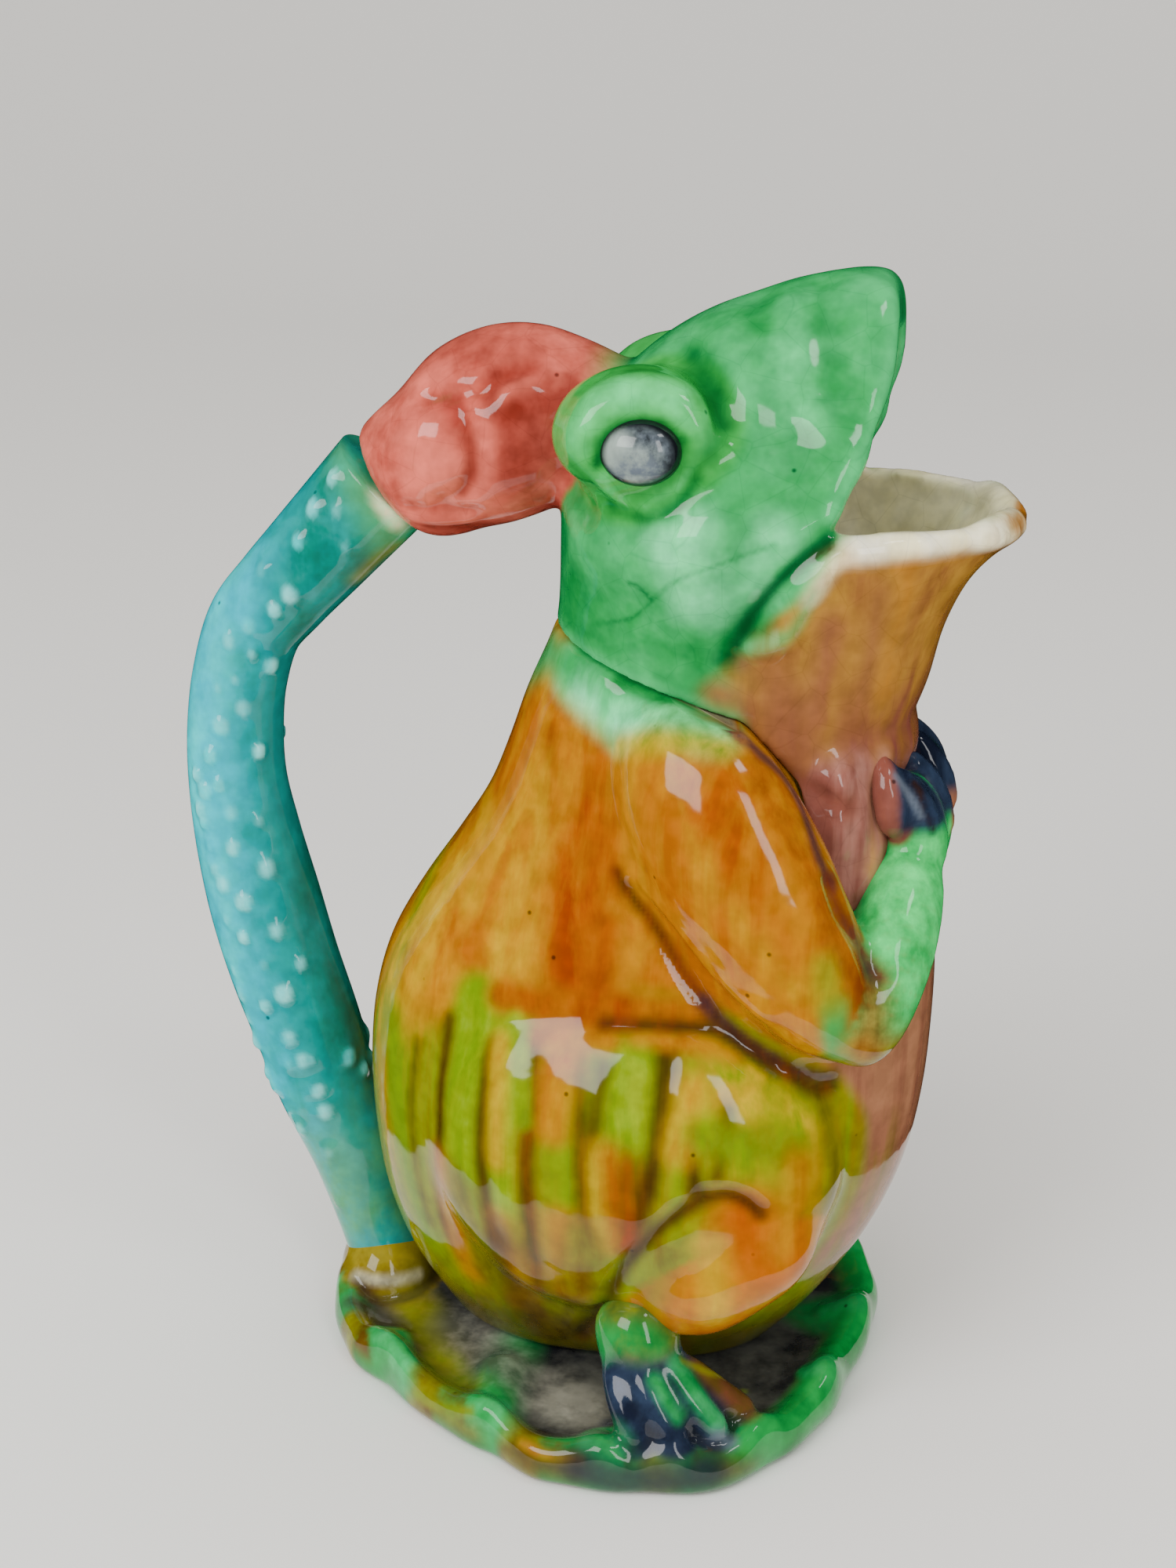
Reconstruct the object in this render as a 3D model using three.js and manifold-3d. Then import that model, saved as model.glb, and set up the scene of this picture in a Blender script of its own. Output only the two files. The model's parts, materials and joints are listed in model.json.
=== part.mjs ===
// A glazed earthenware pitcher in the shape of a seated frog on a lily pad.
// The frog looks up with its mouth open, and the lower jaw is the spout.
// The handle is a water-lily stem that rises from the pad and ends in a bud behind the head.
// Millimetres, +Z up, +X towards the spout, +Y to the frog's left, origin under the middle of the pad.
import * as THREE from "three";
import { mergeVertices } from "three/addons/utils/BufferGeometryUtils.js";
import Module from "manifold-3d";

const wasm = await Module();
wasm.setup();

// Driving sizes

const jointGap = 0.3; // the slip joint between two pieces of clay
const wall = 4.5;
const floorThickness = 7;
const sliver = 0.03; // facets thinner than this are dropped
const cutOverrun = 40; // how far a cutting block runs past what it cuts

const padRadius = 60;
const padFloorHeight = 6.5; // the leaf's own thickness, where the frog sits
const padRimHeight = 9.5;

const torsoLength = 118;
const torsoWidth = 84;
const torsoHeight = 155.5; // from the pad to the back of the neck

const headLength = 90; // from the nape to the spout's tip
const headWidth = 74;
const headHeight = 70; // from the nape to the top of the snout

const eyelidLength = 33;
const eyelidDepth = 28;
const eyelidHeight = 25.4;
const eyeballLength = 14.8;
const eyeballDepth = 9;
const eyeballHeight = 12;

const upperArmThickness = 34;
const forearmThickness = 18;
const palmThickness = 15;
const fingerThickness = 7;
const pouchWidthShare = 0.572; // how wide the throat's fold of loose skin is, of torsoWidth
const pouchWidth = pouchWidthShare * torsoWidth;
const pouchSwell = 2; // how far the fold stands out of the throat
const pouchSetBackShare = 0.1314; // how far behind the throat's front the fold's middle lies, of torsoLength
const pouchDepth = 2 * (pouchSetBackShare * torsoLength + pouchSwell);
const lobeThickness = 13; // the lobe that hangs from each end of the fold

const haunchHeight = 72;
const haunchDepth = 40;
const shankThickness = 34;
const ankleThickness = 17;
const toeThickness = 7;
const webThickness = 2.4;

const stemThickness = 24;
const stemReach = 79.4; // how far behind the pad's middle the stem bows out
const stemEndInBud = 6; // the stem is drawn this far on, for the bud's base to cut it flush
const budLength = 54;
const budHeight = 38;
const budWidth = 37;
const rootReach = 49.5; // how far behind the pad's middle the stem's root stands
const rootLength = 18;
const rootWidth = 25;
const rootHeight = 12;

// Facet counts

const vesselRings = 34;
const vesselSides = 32;
const cavityRings = 20;
const cavitySides = 20;
const limbRings = 9;
const limbSides = 14;
const toeRings = 6;
const toeSides = 8;
const ballSides = 16;
const ballRings = 10;
const padSides = 72;
const stemRings = 24;
const stemSides = 14;
const budRings = 14;
const budSides = 20;

// Solids and skins

function solidOf(geometry) {
  const bare = geometry.index ? geometry.toNonIndexed() : geometry.clone();
  for (const name of Object.keys(bare.attributes)) {
    if (name !== "position") bare.deleteAttribute(name);
  }
  const merged = mergeVertices(bare);
  return new wasm.Manifold(
    new wasm.Mesh({
      numProp: 3,
      vertProperties: merged.attributes.position.array,
      triVerts: new Uint32Array(merged.index.array),
    }),
  );
}

function geometryOf(solid) {
  const mesh = solid.getMesh();
  const geometry = new THREE.BufferGeometry();
  geometry.setAttribute(
    "position",
    new THREE.BufferAttribute(mesh.vertProperties, mesh.numProp),
  );
  geometry.setIndex(new THREE.BufferAttribute(mesh.triVerts, 1));
  const faceted = geometry.toNonIndexed();
  faceted.computeVertexNormals();
  return faceted;
}

// A closed skin over rings of points that run anticlockwise as seen from the last ring's end.
function skin(rings, firstPole, lastPole) {
  const sides = rings[0].length;
  const points = [...rings.flat(), firstPole, lastPole];
  const faces = [];
  for (let i = 0; i + 1 < rings.length; i += 1) {
    for (let j = 0; j < sides; j += 1) {
      const next = (j + 1) % sides;
      const a = i * sides + j;
      const b = i * sides + next;
      faces.push(a, b, b + sides, a, b + sides, a + sides);
    }
  }
  const lastRing = (rings.length - 1) * sides;
  for (let j = 0; j < sides; j += 1) {
    const next = (j + 1) % sides;
    faces.push(points.length - 2, next, j);
    faces.push(points.length - 1, lastRing + j, lastRing + next);
  }
  const geometry = new THREE.BufferGeometry().setFromPoints(points);
  geometry.setIndex(faces);
  return solidOf(geometry);
}

function middleOf(points) {
  const sum = points.reduce((total, p) => total.add(p), new THREE.Vector3());
  return sum.divideScalar(points.length);
}

// A smooth surface through upright sections.
// Each section is { back, front, half, taper }: its two points in the frog's plane of symmetry,
// its half width, and the share of that width that it loses on the way to the front.
function sectionSurface(sections, power) {
  const backs = new THREE.CatmullRomCurve3(sections.map((s) => s.back));
  const fronts = new THREE.CatmullRomCurve3(sections.map((s) => s.front));
  const halves = new THREE.CatmullRomCurve3(
    sections.map((s, i) => new THREE.Vector3(i, s.half, s.taper ?? 0)),
  );
  const rounded = (value) =>
    Math.sign(value) * Math.abs(value) ** (2 / power);
  return (t, angle) => {
    const back = backs.getPoint(t);
    const front = fronts.getPoint(t);
    const { y: half, z: taper } = halves.getPoint(t);
    const share = (1 + rounded(Math.cos(angle))) / 2;
    const width = half * (1 - taper * share) * rounded(Math.sin(angle));
    return back
      .clone()
      .lerp(front, share)
      .add(new THREE.Vector3(0, width, 0));
  };
}

// Rings on such a surface, from t = first to t = last, moved out along the surface normal by grow.
function surfaceRings(surface, { first, last, rings, sides, grow, turn }) {
  const small = 1e-3;
  return Array.from({ length: rings }, (_, i) => {
    const t = first + ((last - first) * i) / (rings - 1);
    return Array.from({ length: sides }, (_, j) => {
      const angle = (turn * 2 * Math.PI * (j + 0.5)) / sides;
      const point = surface(t, angle);
      const along = surface(Math.min(t + small, 1), angle).sub(
        surface(Math.max(t - small, 0), angle),
      );
      const around = surface(t, angle + turn * small).sub(
        surface(t, angle - turn * small),
      );
      return point.addScaledVector(around.cross(along).normalize(), grow);
    });
  });
}

function loft(surface, options) {
  const rings = surfaceRings(surface, options);
  return skin(rings, middleOf(rings[0]), middleOf(rings.at(-1)));
}

// A limb with rounded ends along a spine.
// Each station is { at, wide, deep }: wide is the half thickness towards the frog's side, deep the other one.
function limb(stations, { rings, sides, grow, endPower = 3.2 }) {
  const spine = new THREE.CatmullRomCurve3(stations.map((s) => s.at));
  const sizes = new THREE.CatmullRomCurve3(
    stations.map((s, i) => new THREE.Vector3(i, s.wide, s.deep)),
  );
  const sideways = new THREE.Vector3(0, 1, 0);
  const made = [];
  for (let i = 1; i < rings; i += 1) {
    const t = (1 - Math.cos((Math.PI * i) / rings)) / 2;
    const swell = (1 - Math.abs(2 * t - 1) ** endPower) ** (1 / endPower);
    const tangent = spine.getTangent(t);
    const across = sideways
      .clone()
      .addScaledVector(tangent, -sideways.dot(tangent))
      .normalize();
    const other = tangent.clone().cross(across);
    const size = sizes.getPoint(t);
    made.push(
      Array.from({ length: sides }, (_, j) => {
        const angle = (2 * Math.PI * j) / sides;
        return spine
          .getPoint(t)
          .addScaledVector(across, (size.y * swell + grow) * Math.cos(angle))
          .addScaledVector(other, (size.z * swell + grow) * Math.sin(angle));
      }),
    );
  }
  const start = spine.getPoint(0).addScaledVector(spine.getTangent(0), -grow);
  const end = spine.getPoint(1).addScaledVector(spine.getTangent(1), grow);
  return skin(made, start, end);
}

function ball(centre, length, depth, height, grow) {
  const geometry = new THREE.SphereGeometry(1, ballSides, ballRings);
  geometry.scale(length / 2 + grow, depth / 2 + grow, height / 2 + grow);
  geometry.translate(centre.x, centre.y, centre.z);
  return solidOf(geometry);
}

// An outline in the frog's plane of symmetry, drawn out sideways through the whole frog.
function throughBlock(outline) {
  const shape = new THREE.Shape(
    outline.map((p) => new THREE.Vector2(p.x, p.z)),
  );
  const depth = torsoWidth + headWidth;
  const geometry = new THREE.ExtrudeGeometry(shape, {
    depth,
    bevelEnabled: false,
  });
  geometry.rotateX(Math.PI / 2);
  geometry.translate(0, depth / 2, 0);
  return solidOf(geometry);
}

// Where things are on the frog, from shares of its driving sizes

const torsoBase = padFloorHeight + jointGap;

function onTorso(xShare, yShare, zShare) {
  return new THREE.Vector3(
    xShare * torsoLength,
    (yShare * torsoWidth) / 2,
    torsoBase + zShare * torsoHeight,
  );
}

const napeXShare = -0.08;
const nape = onTorso(napeXShare, 0, 1);

function onHead(xShare, yShare, zShare) {
  return new THREE.Vector3(
    nape.x + xShare * headLength,
    (yShare * headWidth) / 2,
    nape.z + zShare * headHeight,
  );
}

function onPad(xShare, yShare, zShare) {
  return new THREE.Vector3(
    xShare * padRadius,
    yShare * padRadius,
    torsoBase + zShare * toeThickness,
  );
}

// Torso sections from the pad to the neck: back x and z, front x and z, half width,
// as shares of the torso's length, height and half width.
const torsoShares = [
  [-0.28, 0, 0.33, 0, 0.6],
  [-0.325, 0.055, 0.385, 0.05, 0.72],
  [-0.37, 0.12, 0.44, 0.11, 0.83],
  [-0.403, 0.2, 0.5, 0.19, 0.93],
  [-0.418, 0.29, 0.545, 0.28, 0.985],
  [-0.422, 0.38, 0.568, 0.375, 1],
  [-0.411, 0.47, 0.576, 0.47, 0.985],
  [-0.381, 0.55, 0.576, 0.56, 0.945],
  [-0.326, 0.625, 0.564, 0.65, 0.885],
  [-0.258, 0.7, 0.547, 0.73, 0.82],
  [-0.2, 0.77, 0.527, 0.8, 0.765],
  [-0.162, 0.84, 0.513, 0.84, 0.72],
  [-0.132, 0.905, 0.508, 0.86, 0.695],
  [napeXShare, 1, 0.508, 0.872, 0.69],
];

// Head sections from the neck to the snout's tip: back x and z, front x and z, half width,
// as shares of the head's length, height and half width, from the nape, and the taper.
const headShares = [
  [0.01, 0.114, 0.811, -0.13, 0.83, 0],
  [0.013, 0.229, 0.84, 0.03, 0.9, 0],
  [0.017, 0.343, 0.892, 0.175, 0.96, 0],
  [0.033, 0.457, 0.985, 0.312, 1, 0.125],
  [0.078, 0.586, 1.03, 0.45, 0.95, 0.34],
  [0.161, 0.714, 0.99, 0.62, 0.8, 0.42],
  [0.272, 0.821, 0.94, 0.765, 0.6, 0.45],
  [0.417, 0.905, 0.88, 0.88, 0.41, 0.4],
  [0.55, 0.955, 0.815, 0.953, 0.25, 0.22],
  [0.64, 0.975, 0.75, 0.975, 0.1, 0.22],
];

const vesselPower = 2.25; // a little squarer than an ellipse
const vesselSurface = sectionSurface(
  [
    ...torsoShares.map(([xb, zb, xf, zf, half]) => ({
      back: onTorso(xb, 0, zb),
      front: onTorso(xf, 0, zf),
      half: onTorso(0, half, 0).y,
    })),
    ...headShares.map(([xb, zb, xf, zf, half, taper]) => ({
      back: onHead(xb, 0, zb),
      front: onHead(xf, 0, zf),
      half: onHead(0, half, 0).y,
      taper,
    })),
  ],
  vesselPower,
);

// The whole outside of the frog's body and head, before the mouth is cut
function vessel(grow) {
  return loft(vesselSurface, {
    first: 0,
    last: 1,
    rings: vesselRings,
    sides: vesselSides,
    grow,
    turn: 1,
  });
}

// The hollow inside, a wall's thickness in from the outside
const sectionCount = torsoShares.length + headShares.length;
const cavityFirstShare = (torsoBase + floorThickness) / torsoHeight / 2;
const cavityLastShare = 1 - 2.6 / (sectionCount - 1);

function cavity() {
  return loft(vesselSurface, {
    first: cavityFirstShare,
    last: cavityLastShare,
    rings: cavityRings,
    sides: cavitySides,
    grow: -wall,
    turn: 1,
  });
}

// The open mouth, as seen from the side: its corner, up the upper lip, and back along the spout's rim
const upperLipShares = [
  [0.618, 0.36],
  [0.64, 0.445],
  [0.664, 0.51],
  [0.68, 0.575],
  [0.698, 0.647],
  [0.712, 0.736],
  [0.716, 0.847],
  [0.713, 0.94],
  [0.69, 1],
];
const spoutRimShares = [
  [1, 0.318],
  [0.9, 0.34],
  [0.75, 0.357],
  [0.65, 0.352],
];

function mouthOpening() {
  const lip = upperLipShares.map(([x, z]) => onHead(x, 0, z));
  const rim = spoutRimShares.map(([x, z]) => onHead(x, 0, z));
  const above = lip.at(-1).clone().setZ(lip.at(-1).z + cutOverrun);
  const beyond = rim[0].clone().setX(rim[0].x + cutOverrun);
  const corner = new THREE.Vector3(beyond.x, 0, above.z);
  return throughBlock([...lip, above, corner, beyond, ...rim]);
}

// The neck seam slants down from the nape, then drops behind the arm to the end of the throat's loose skin
const seamShares = [
  [0.2627, 0.9228],
  [0.34, 0.857],
  [0.375, 0.79],
  [0.4, 0.725],
  [0.43, 0.68],
];

// Everything above the neck seam
function aboveNeck(lift) {
  const line = seamShares.map(([x, z]) => onTorso(x, 0, z));
  const slope = (line[0].z - nape.z) / (line[0].x - nape.x);
  const farBack = nape.x - cutOverrun;
  const farFront = nape.x + headLength + cutOverrun;
  const top = nape.z + headHeight + cutOverrun;
  const start = new THREE.Vector3(farBack, 0, nape.z - slope * cutOverrun);
  const end = new THREE.Vector3(farFront, 0, line.at(-1).z);
  const seam = [start, ...line, end];
  return throughBlock([
    ...seam.map((p) => new THREE.Vector3(p.x + lift, 0, p.z + lift)),
    new THREE.Vector3(farFront + lift, 0, top),
    new THREE.Vector3(farBack + lift, 0, top),
  ]);
}

// The part of the head that is throat and spout, in front of the jaw line
const jawLineShares = [
  [0.45, -0.9],
  [0.46, -0.2],
  [0.425, -0.02],
  [0.43, 0.09],
  [0.52, 0.22],
  [0.622, 0.34],
  [0.68, 0.46],
];

function throatRegion(grow) {
  const line = jawLineShares.map(([x, z]) => {
    const point = onHead(x, 0, z);
    return new THREE.Vector3(point.x - grow, 0, point.z + grow);
  });
  const front = line[0].x + headLength + cutOverrun;
  return throughBlock([
    new THREE.Vector3(front, 0, line.at(-1).z),
    ...line.toReversed(),
    new THREE.Vector3(front, 0, line[0].z),
  ]);
}

// The frog's right side; the left is its mirror image

// A limb's stations on the torso: x, y and z shares, then the two half thicknesses as shares of its thickness
function stationsOnTorso(shares, thickness) {
  return shares.map(([x, y, z, wide, deep]) => ({
    at: onTorso(x, y, z),
    wide: wide * thickness,
    deep: deep * thickness,
  }));
}

const upperArmShares = [
  [0.1, -0.6, 0.93, 0.3, 0.38],
  [0.195, -0.77, 0.845, 0.36, 0.49],
  [0.275, -0.84, 0.755, 0.38, 0.48],
  [0.34, -0.88, 0.68, 0.36, 0.43],
  [0.4, -0.89, 0.605, 0.33, 0.37],
  [0.455, -0.86, 0.53, 0.28, 0.3],
];
const forearmShares = [
  [0.441, -0.881, 0.516, 0.46, 0.46],
  [0.475, -0.821, 0.577, 0.5, 0.5],
  [0.508, -0.667, 0.644, 0.5, 0.48],
  [0.525, -0.488, 0.702, 0.44, 0.44],
  [0.534, -0.286, 0.747, 0.36, 0.38],
];
const palmShares = [
  [0.521, -0.405, 0.702, 0.46, 0.42],
  [0.534, -0.333, 0.747, 0.5, 0.44],
  [0.53, -0.298, 0.792, 0.46, 0.38],
  [0.508, -0.286, 0.837, 0.36, 0.28],
];
const fingerShares = [
  [
    [0.5, -0.476, 0.773, 0.42, 0.42],
    [0.4915, -0.488, 0.8245, 0.46, 0.46],
    [0.477, -0.417, 0.8727, 0.36, 0.36],
  ],
  [
    [0.555, -0.357, 0.757, 0.5, 0.5],
    [0.538, -0.405, 0.802, 0.54, 0.54],
    [0.495, -0.381, 0.853, 0.4, 0.4],
  ],
  [
    [0.572, -0.167, 0.7377, 0.5, 0.5],
    [0.559, -0.167, 0.7923, 0.5, 0.54],
    [0.512, -0.155, 0.855, 0.4, 0.4],
  ],
];
const haunchShares = [
  [-0.26, -0.68, 0.325, 0.4, 0.42],
  [-0.08, -0.72, 0.34, 0.5, 0.5],
  [0.12, -0.74, 0.345, 0.5, 0.5],
  [0.28, -0.74, 0.352, 0.5, 0.46],
  [0.452, -0.7, 0.36, 0.42, 0.34],
];
const haunchEndPower = 2.4; // how square the hip and knee are
const shankShares = [
  [0.4, -0.76, 0.3, 0.28, 0.3],
  [0.32, -0.84, 0.26, 0.38, 0.38],
  [0.22, -0.88, 0.2, 0.38, 0.38],
  [0.12, -0.9, 0.14, 0.28, 0.26],
];
const ankleShares = [
  [0.11, -0.952, 0.168, 0.44, 0.46],
  [0.127, -1.03, 0.125, 0.48, 0.5],
  [0.15, -1.1, 0.078, 0.46, 0.5],
];
// Each toe runs down from the instep to its tip on the pad: x and y as shares of the pad's radius,
// and the height over the pad as a share of the toe's thickness
const toeShares = [
  [
    [0.175, -0.78, 2.3],
    [0.235, -0.885, 1.35],
    [0.308, -0.945, 0.4],
  ],
  [
    [0.25, -0.79, 2.6],
    [0.335, -0.885, 1.5],
    [0.433, -0.92, 0.4],
  ],
  [
    [0.333, -0.78, 2.5],
    [0.45, -0.83, 1.35],
    [0.562, -0.835, 0.36],
  ],
  [
    [0.375, -0.74, 2.2],
    [0.52, -0.73, 1.1],
    [0.64, -0.7, 0.3],
  ],
];
const pouchShares = [
  [0.373, 0, 0.93, 0.4, 0.44],
  [0.377, 0, 0.88, 0.5, 0.5],
  [0.381, 0, 0.84, 0.5, 0.5],
  [0.386, 0, 0.79, 0.4, 0.44],
];
const lobeShares = [
  [0.398, -0.464, 0.895, 0.46, 0.36],
  [0.412, -0.488, 0.837, 0.5, 0.42],
  [0.42, -0.507, 0.779, 0.5, 0.42],
  [0.4254, -0.524, 0.712, 0.42, 0.38],
];

function upperArm(grow) {
  return limb(stationsOnTorso(upperArmShares, upperArmThickness), {
    rings: limbRings,
    sides: limbSides,
    grow,
  });
}

function forearm(grow) {
  return limb(stationsOnTorso(forearmShares, forearmThickness), {
    rings: limbRings,
    sides: limbSides,
    grow,
  });
}

function hand(grow) {
  const options = { rings: toeRings, sides: toeSides, grow };
  const palm = limb(stationsOnTorso(palmShares, palmThickness), options);
  return fingerShares.reduce(
    (made, shares) =>
      made.add(limb(stationsOnTorso(shares, fingerThickness), options)),
    palm,
  );
}

// Its stations give the half depth as a share of the depth, the half height as a share of the height
function haunch(grow) {
  const stations = haunchShares.map(([x, y, z, wide, high]) => ({
    at: onTorso(x, y, z),
    wide: wide * haunchDepth,
    deep: high * haunchHeight,
  }));
  return limb(stations, {
    rings: limbRings,
    sides: limbSides,
    grow,
    endPower: haunchEndPower,
  });
}

function shank(grow) {
  return limb(stationsOnTorso(shankShares, shankThickness), {
    rings: limbRings,
    sides: limbSides,
    grow,
  });
}

function foot(grow) {
  const options = { rings: toeRings, sides: toeSides, grow };
  const ankle = limb(stationsOnTorso(ankleShares, ankleThickness), options);
  const lines = toeShares.map((line) => line.map((shares) => onPad(...shares)));
  const half = toeThickness / 2;
  const toes = lines.map((line) =>
    limb(
      line.map((at) => ({ at, wide: half, deep: half })),
      options,
    ),
  );
  return toes.reduce((made, toe) => made.add(toe), ankle.add(web(lines, grow)));
}

// The web is a wedge that falls from the middles of the insteps to the toes' tips
function web(lines, grow) {
  const insteps = lines.map((line) => line[0]).toReversed();
  const tips = lines.map((line) => line.at(-1));
  const top = [
    ...tips.map((p) => p.clone().setZ(torsoBase + webThickness + grow)),
    ...insteps.map((p) => p.clone().setZ(p.z + grow)),
  ];
  const bottom = top.map((p) => p.clone().setZ(torsoBase));
  return skin([bottom, top], middleOf(bottom), middleOf(top));
}

// The fold of loose skin under the throat, with a lobe hanging at each side;
// the fold's stations give its half sizes as shares of its own width and depth
function pouch(grow) {
  const options = { rings: limbRings, sides: limbSides, grow };
  const stations = pouchShares.map(([x, y, z, wide, deep]) => ({
    at: onTorso(x, y, z),
    wide: wide * pouchWidth,
    deep: deep * pouchDepth,
  }));
  const lobe = limb(stationsOnTorso(lobeShares, lobeThickness), options);
  return limb(stations, options).add(lobe).add(mirrored(lobe));
}

// Eyes, high on each side of the skull
const eyelidCentreShares = [0.224, -0.63, 0.5686];
const eyeballCentreShares = [0.245, -0.935, 0.555];

function eyelid(grow) {
  const centre = onHead(...eyelidCentreShares);
  return ball(centre, eyelidLength, eyelidDepth, eyelidHeight, grow);
}

function eyeball(grow) {
  const centre = onHead(...eyeballCentreShares);
  return ball(centre, eyeballLength, eyeballDepth, eyeballHeight, grow);
}

// Lily pad: a flat leaf with a thick, scalloped, turned-up rim

// How far out the leaf's edge lies as a share of its radius, at equal steps from the stem
// round by the frog's right side
const padEdgeShares = [
  1, 1, 0.975, 0.907, 0.91, 0.937, 1.02, 1.057, 1.105, 1.06, 1.018, 0.967,
  0.985, 1.022, 1.013, 1.038, 1.075, 1.05, 1.017, 0.958, 0.925, 0.933, 0.983, 1,
];
// The profile from the middle of the underside, round the rim, to the middle of the floor:
// a share of the radius, and a share of the rim's height
const padProfileShares = [
  [0.95, 0],
  [0.985, 0.12],
  [1, 0.4],
  [0.995, 0.7],
  [0.975, 0.93],
  [0.945, 1],
];
// Inside the rim the leaf falls back to its floor: a share of the radius,
// and a share of the rise from floor to rim
const padDishShares = [
  [0.915, 0.8],
  [0.885, 0.4],
  [0.85, 0.08],
];

function pad(grow) {
  const loop = [...padEdgeShares, ...padEdgeShares.slice(0, 1)];
  const edgeShareAt = (turn) => {
    const place = turn * padEdgeShares.length;
    const before = Math.floor(place);
    const blend = (1 - Math.cos(Math.PI * (place - before))) / 2;
    return loop[before] * (1 - blend) + loop[before + 1] * blend;
  };
  const heightInDish = (share) =>
    padFloorHeight + share * (padRimHeight - padFloorHeight);
  const profile = [
    ...padProfileShares.map(([r, z]) => [r, z * padRimHeight]),
    ...padDishShares.map(([r, z]) => [r, heightInDish(z)]),
  ];
  const rings = profile.map(([r, z]) =>
    Array.from({ length: padSides }, (_, j) => {
      const turn = j / padSides;
      const angle = Math.PI * (2 * turn - 1);
      const radius = r * (padRadius * edgeShareAt(turn) + grow);
      return new THREE.Vector3(
        radius * Math.cos(angle),
        radius * Math.sin(angle),
        z + grow,
      );
    }),
  );
  return skin(
    rings,
    new THREE.Vector3(0, 0, grow),
    new THREE.Vector3(0, 0, padFloorHeight + grow),
  );
}

// Handle: a stem that rises from the pad behind the frog, and a bud that joins it to the head

const handleFoot = onTorso(-0.445, 0, 0.085);
const budRing = onHead(-0.389, 0, 0.361);

// The stem's line from the pad to the bud: how far out it bows as a share of its reach,
// its height as a share of the rise, and its half thickness as a share of its thickness
const stemShares = [
  [0.661, 0, 0.36],
  [0.718, 0.1, 0.41],
  [0.792, 0.19, 0.45],
  [0.835, 0.265, 0.485],
  [0.899, 0.362, 0.5],
  [0.942, 0.444, 0.5],
  [0.98, 0.534, 0.467],
  [1, 0.611, 0.43],
  [0.997, 0.68, 0.417],
  [0.976, 0.745, 0.408],
  [0.926, 0.812, 0.412],
  [0.846, 0.857, 0.425],
  [0.748, 0.906, 0.445],
];

function stem(grow) {
  const rise = budRing.z - handleFoot.z;
  const stations = stemShares.map(([out, up, half]) => ({
    at: new THREE.Vector3(-out * stemReach, 0, handleFoot.z + up * rise),
    half: half * stemThickness,
  }));
  const intoBud = new THREE.Vector3(stemEndInBud, 0, stemEndInBud / 2);
  stations.push({ at: budRing.clone().add(intoBud), half: budHeight * budShares[0][2] });
  const spine = new THREE.CatmullRomCurve3(stations.map((s) => s.at));
  const sizes = new THREE.CatmullRomCurve3(
    stations.map((s, i) => new THREE.Vector3(i, s.half, 0)),
  );
  const across = new THREE.Vector3(0, 1, 0);
  const rings = Array.from({ length: stemRings }, (_, i) => {
    const t = i / (stemRings - 1);
    const outward = across.clone().cross(spine.getTangent(t)).negate();
    const radius = sizes.getPoint(t).y + grow;
    return Array.from({ length: stemSides }, (_, j) => {
      const angle = (2 * Math.PI * j) / stemSides;
      return spine
        .getPoint(t)
        .addScaledVector(across, radius * Math.cos(angle))
        .addScaledVector(outward, radius * Math.sin(angle));
    });
  });
  return skin(rings, middleOf(rings[0]), middleOf(rings.at(-1)));
}

// Bud sections from the stem to the skull: the place of each section's middle along the bud,
// its rise, its half height, its half width and its lean, as shares of length, height, height, width
// and a full right angle
const budShares = [
  [0.02, 0, 0.3, 0.3, 0.35],
  [0.075, 0.02, 0.35, 0.37, 0.32],
  [0.17, 0.09, 0.4, 0.44, 0.26],
  [0.29, 0.22, 0.47, 0.49, 0.17],
  [0.44, 0.3, 0.5, 0.5, 0.09],
  [0.59, 0.34, 0.47, 0.47, 0.04],
  [0.74, 0.35, 0.39, 0.41, 0],
  [0.89, 0.36, 0.28, 0.32, -0.05],
];

function bud(grow) {
  const sections = budShares.map(([along, up, high, wide, lean]) => {
    const middle = new THREE.Vector3(
      budRing.x + along * budLength,
      0,
      budRing.z + up * budHeight,
    );
    const reach = new THREE.Vector3(
      -Math.sin((lean * Math.PI) / 2),
      0,
      Math.cos((lean * Math.PI) / 2),
    ).multiplyScalar(high * budHeight);
    return {
      back: middle.clone().add(reach),
      front: middle.clone().sub(reach),
      half: wide * budWidth,
    };
  });
  return loft(sectionSurface(sections, 2), {
    first: 0,
    last: 1,
    rings: budRings,
    sides: budSides,
    grow,
    turn: 1,
  });
}

// The leaf stalk that swells up from the pad round the stem's foot
function root(grow) {
  const centre = new THREE.Vector3(-rootReach, 0, padFloorHeight);
  return ball(centre, rootLength, rootWidth, 2 * rootHeight, grow);
}

// Pieces

const colours = {
  headGreen: 0x3d9a5c,
  throatBrown: 0xa5622f,
  bodyOrange: 0xd9820f,
  haunchOlive: 0xb59a1c,
  handGreen: 0x63b774,
  padGreen: 0x2f8a52,
  rootOlive: 0x8a7a1d,
  stemTeal: 0x2aa8a4,
  budRed: 0xc4574a,
  eyeGrey: 0x6c6f76,
  footBlue: 0x28445a,
};

const pitcher = new THREE.Group();

// The one real body of a cut solid, without the crumbs that a cut can leave
function mainBody(solid) {
  const bodies = solid.simplify(sliver).decompose();
  return bodies.reduce((a, b) => (b.volume() > a.volume() ? b : a));
}

function addPiece(name, solid, colour, parent = pitcher) {
  const material = new THREE.MeshStandardMaterial({
    color: colour,
    roughness: 0.14,
    metalness: 0,
  });
  const mesh = new THREE.Mesh(geometryOf(mainBody(solid)), material);
  mesh.name = name;
  parent.add(mesh);
  return mesh;
}

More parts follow.
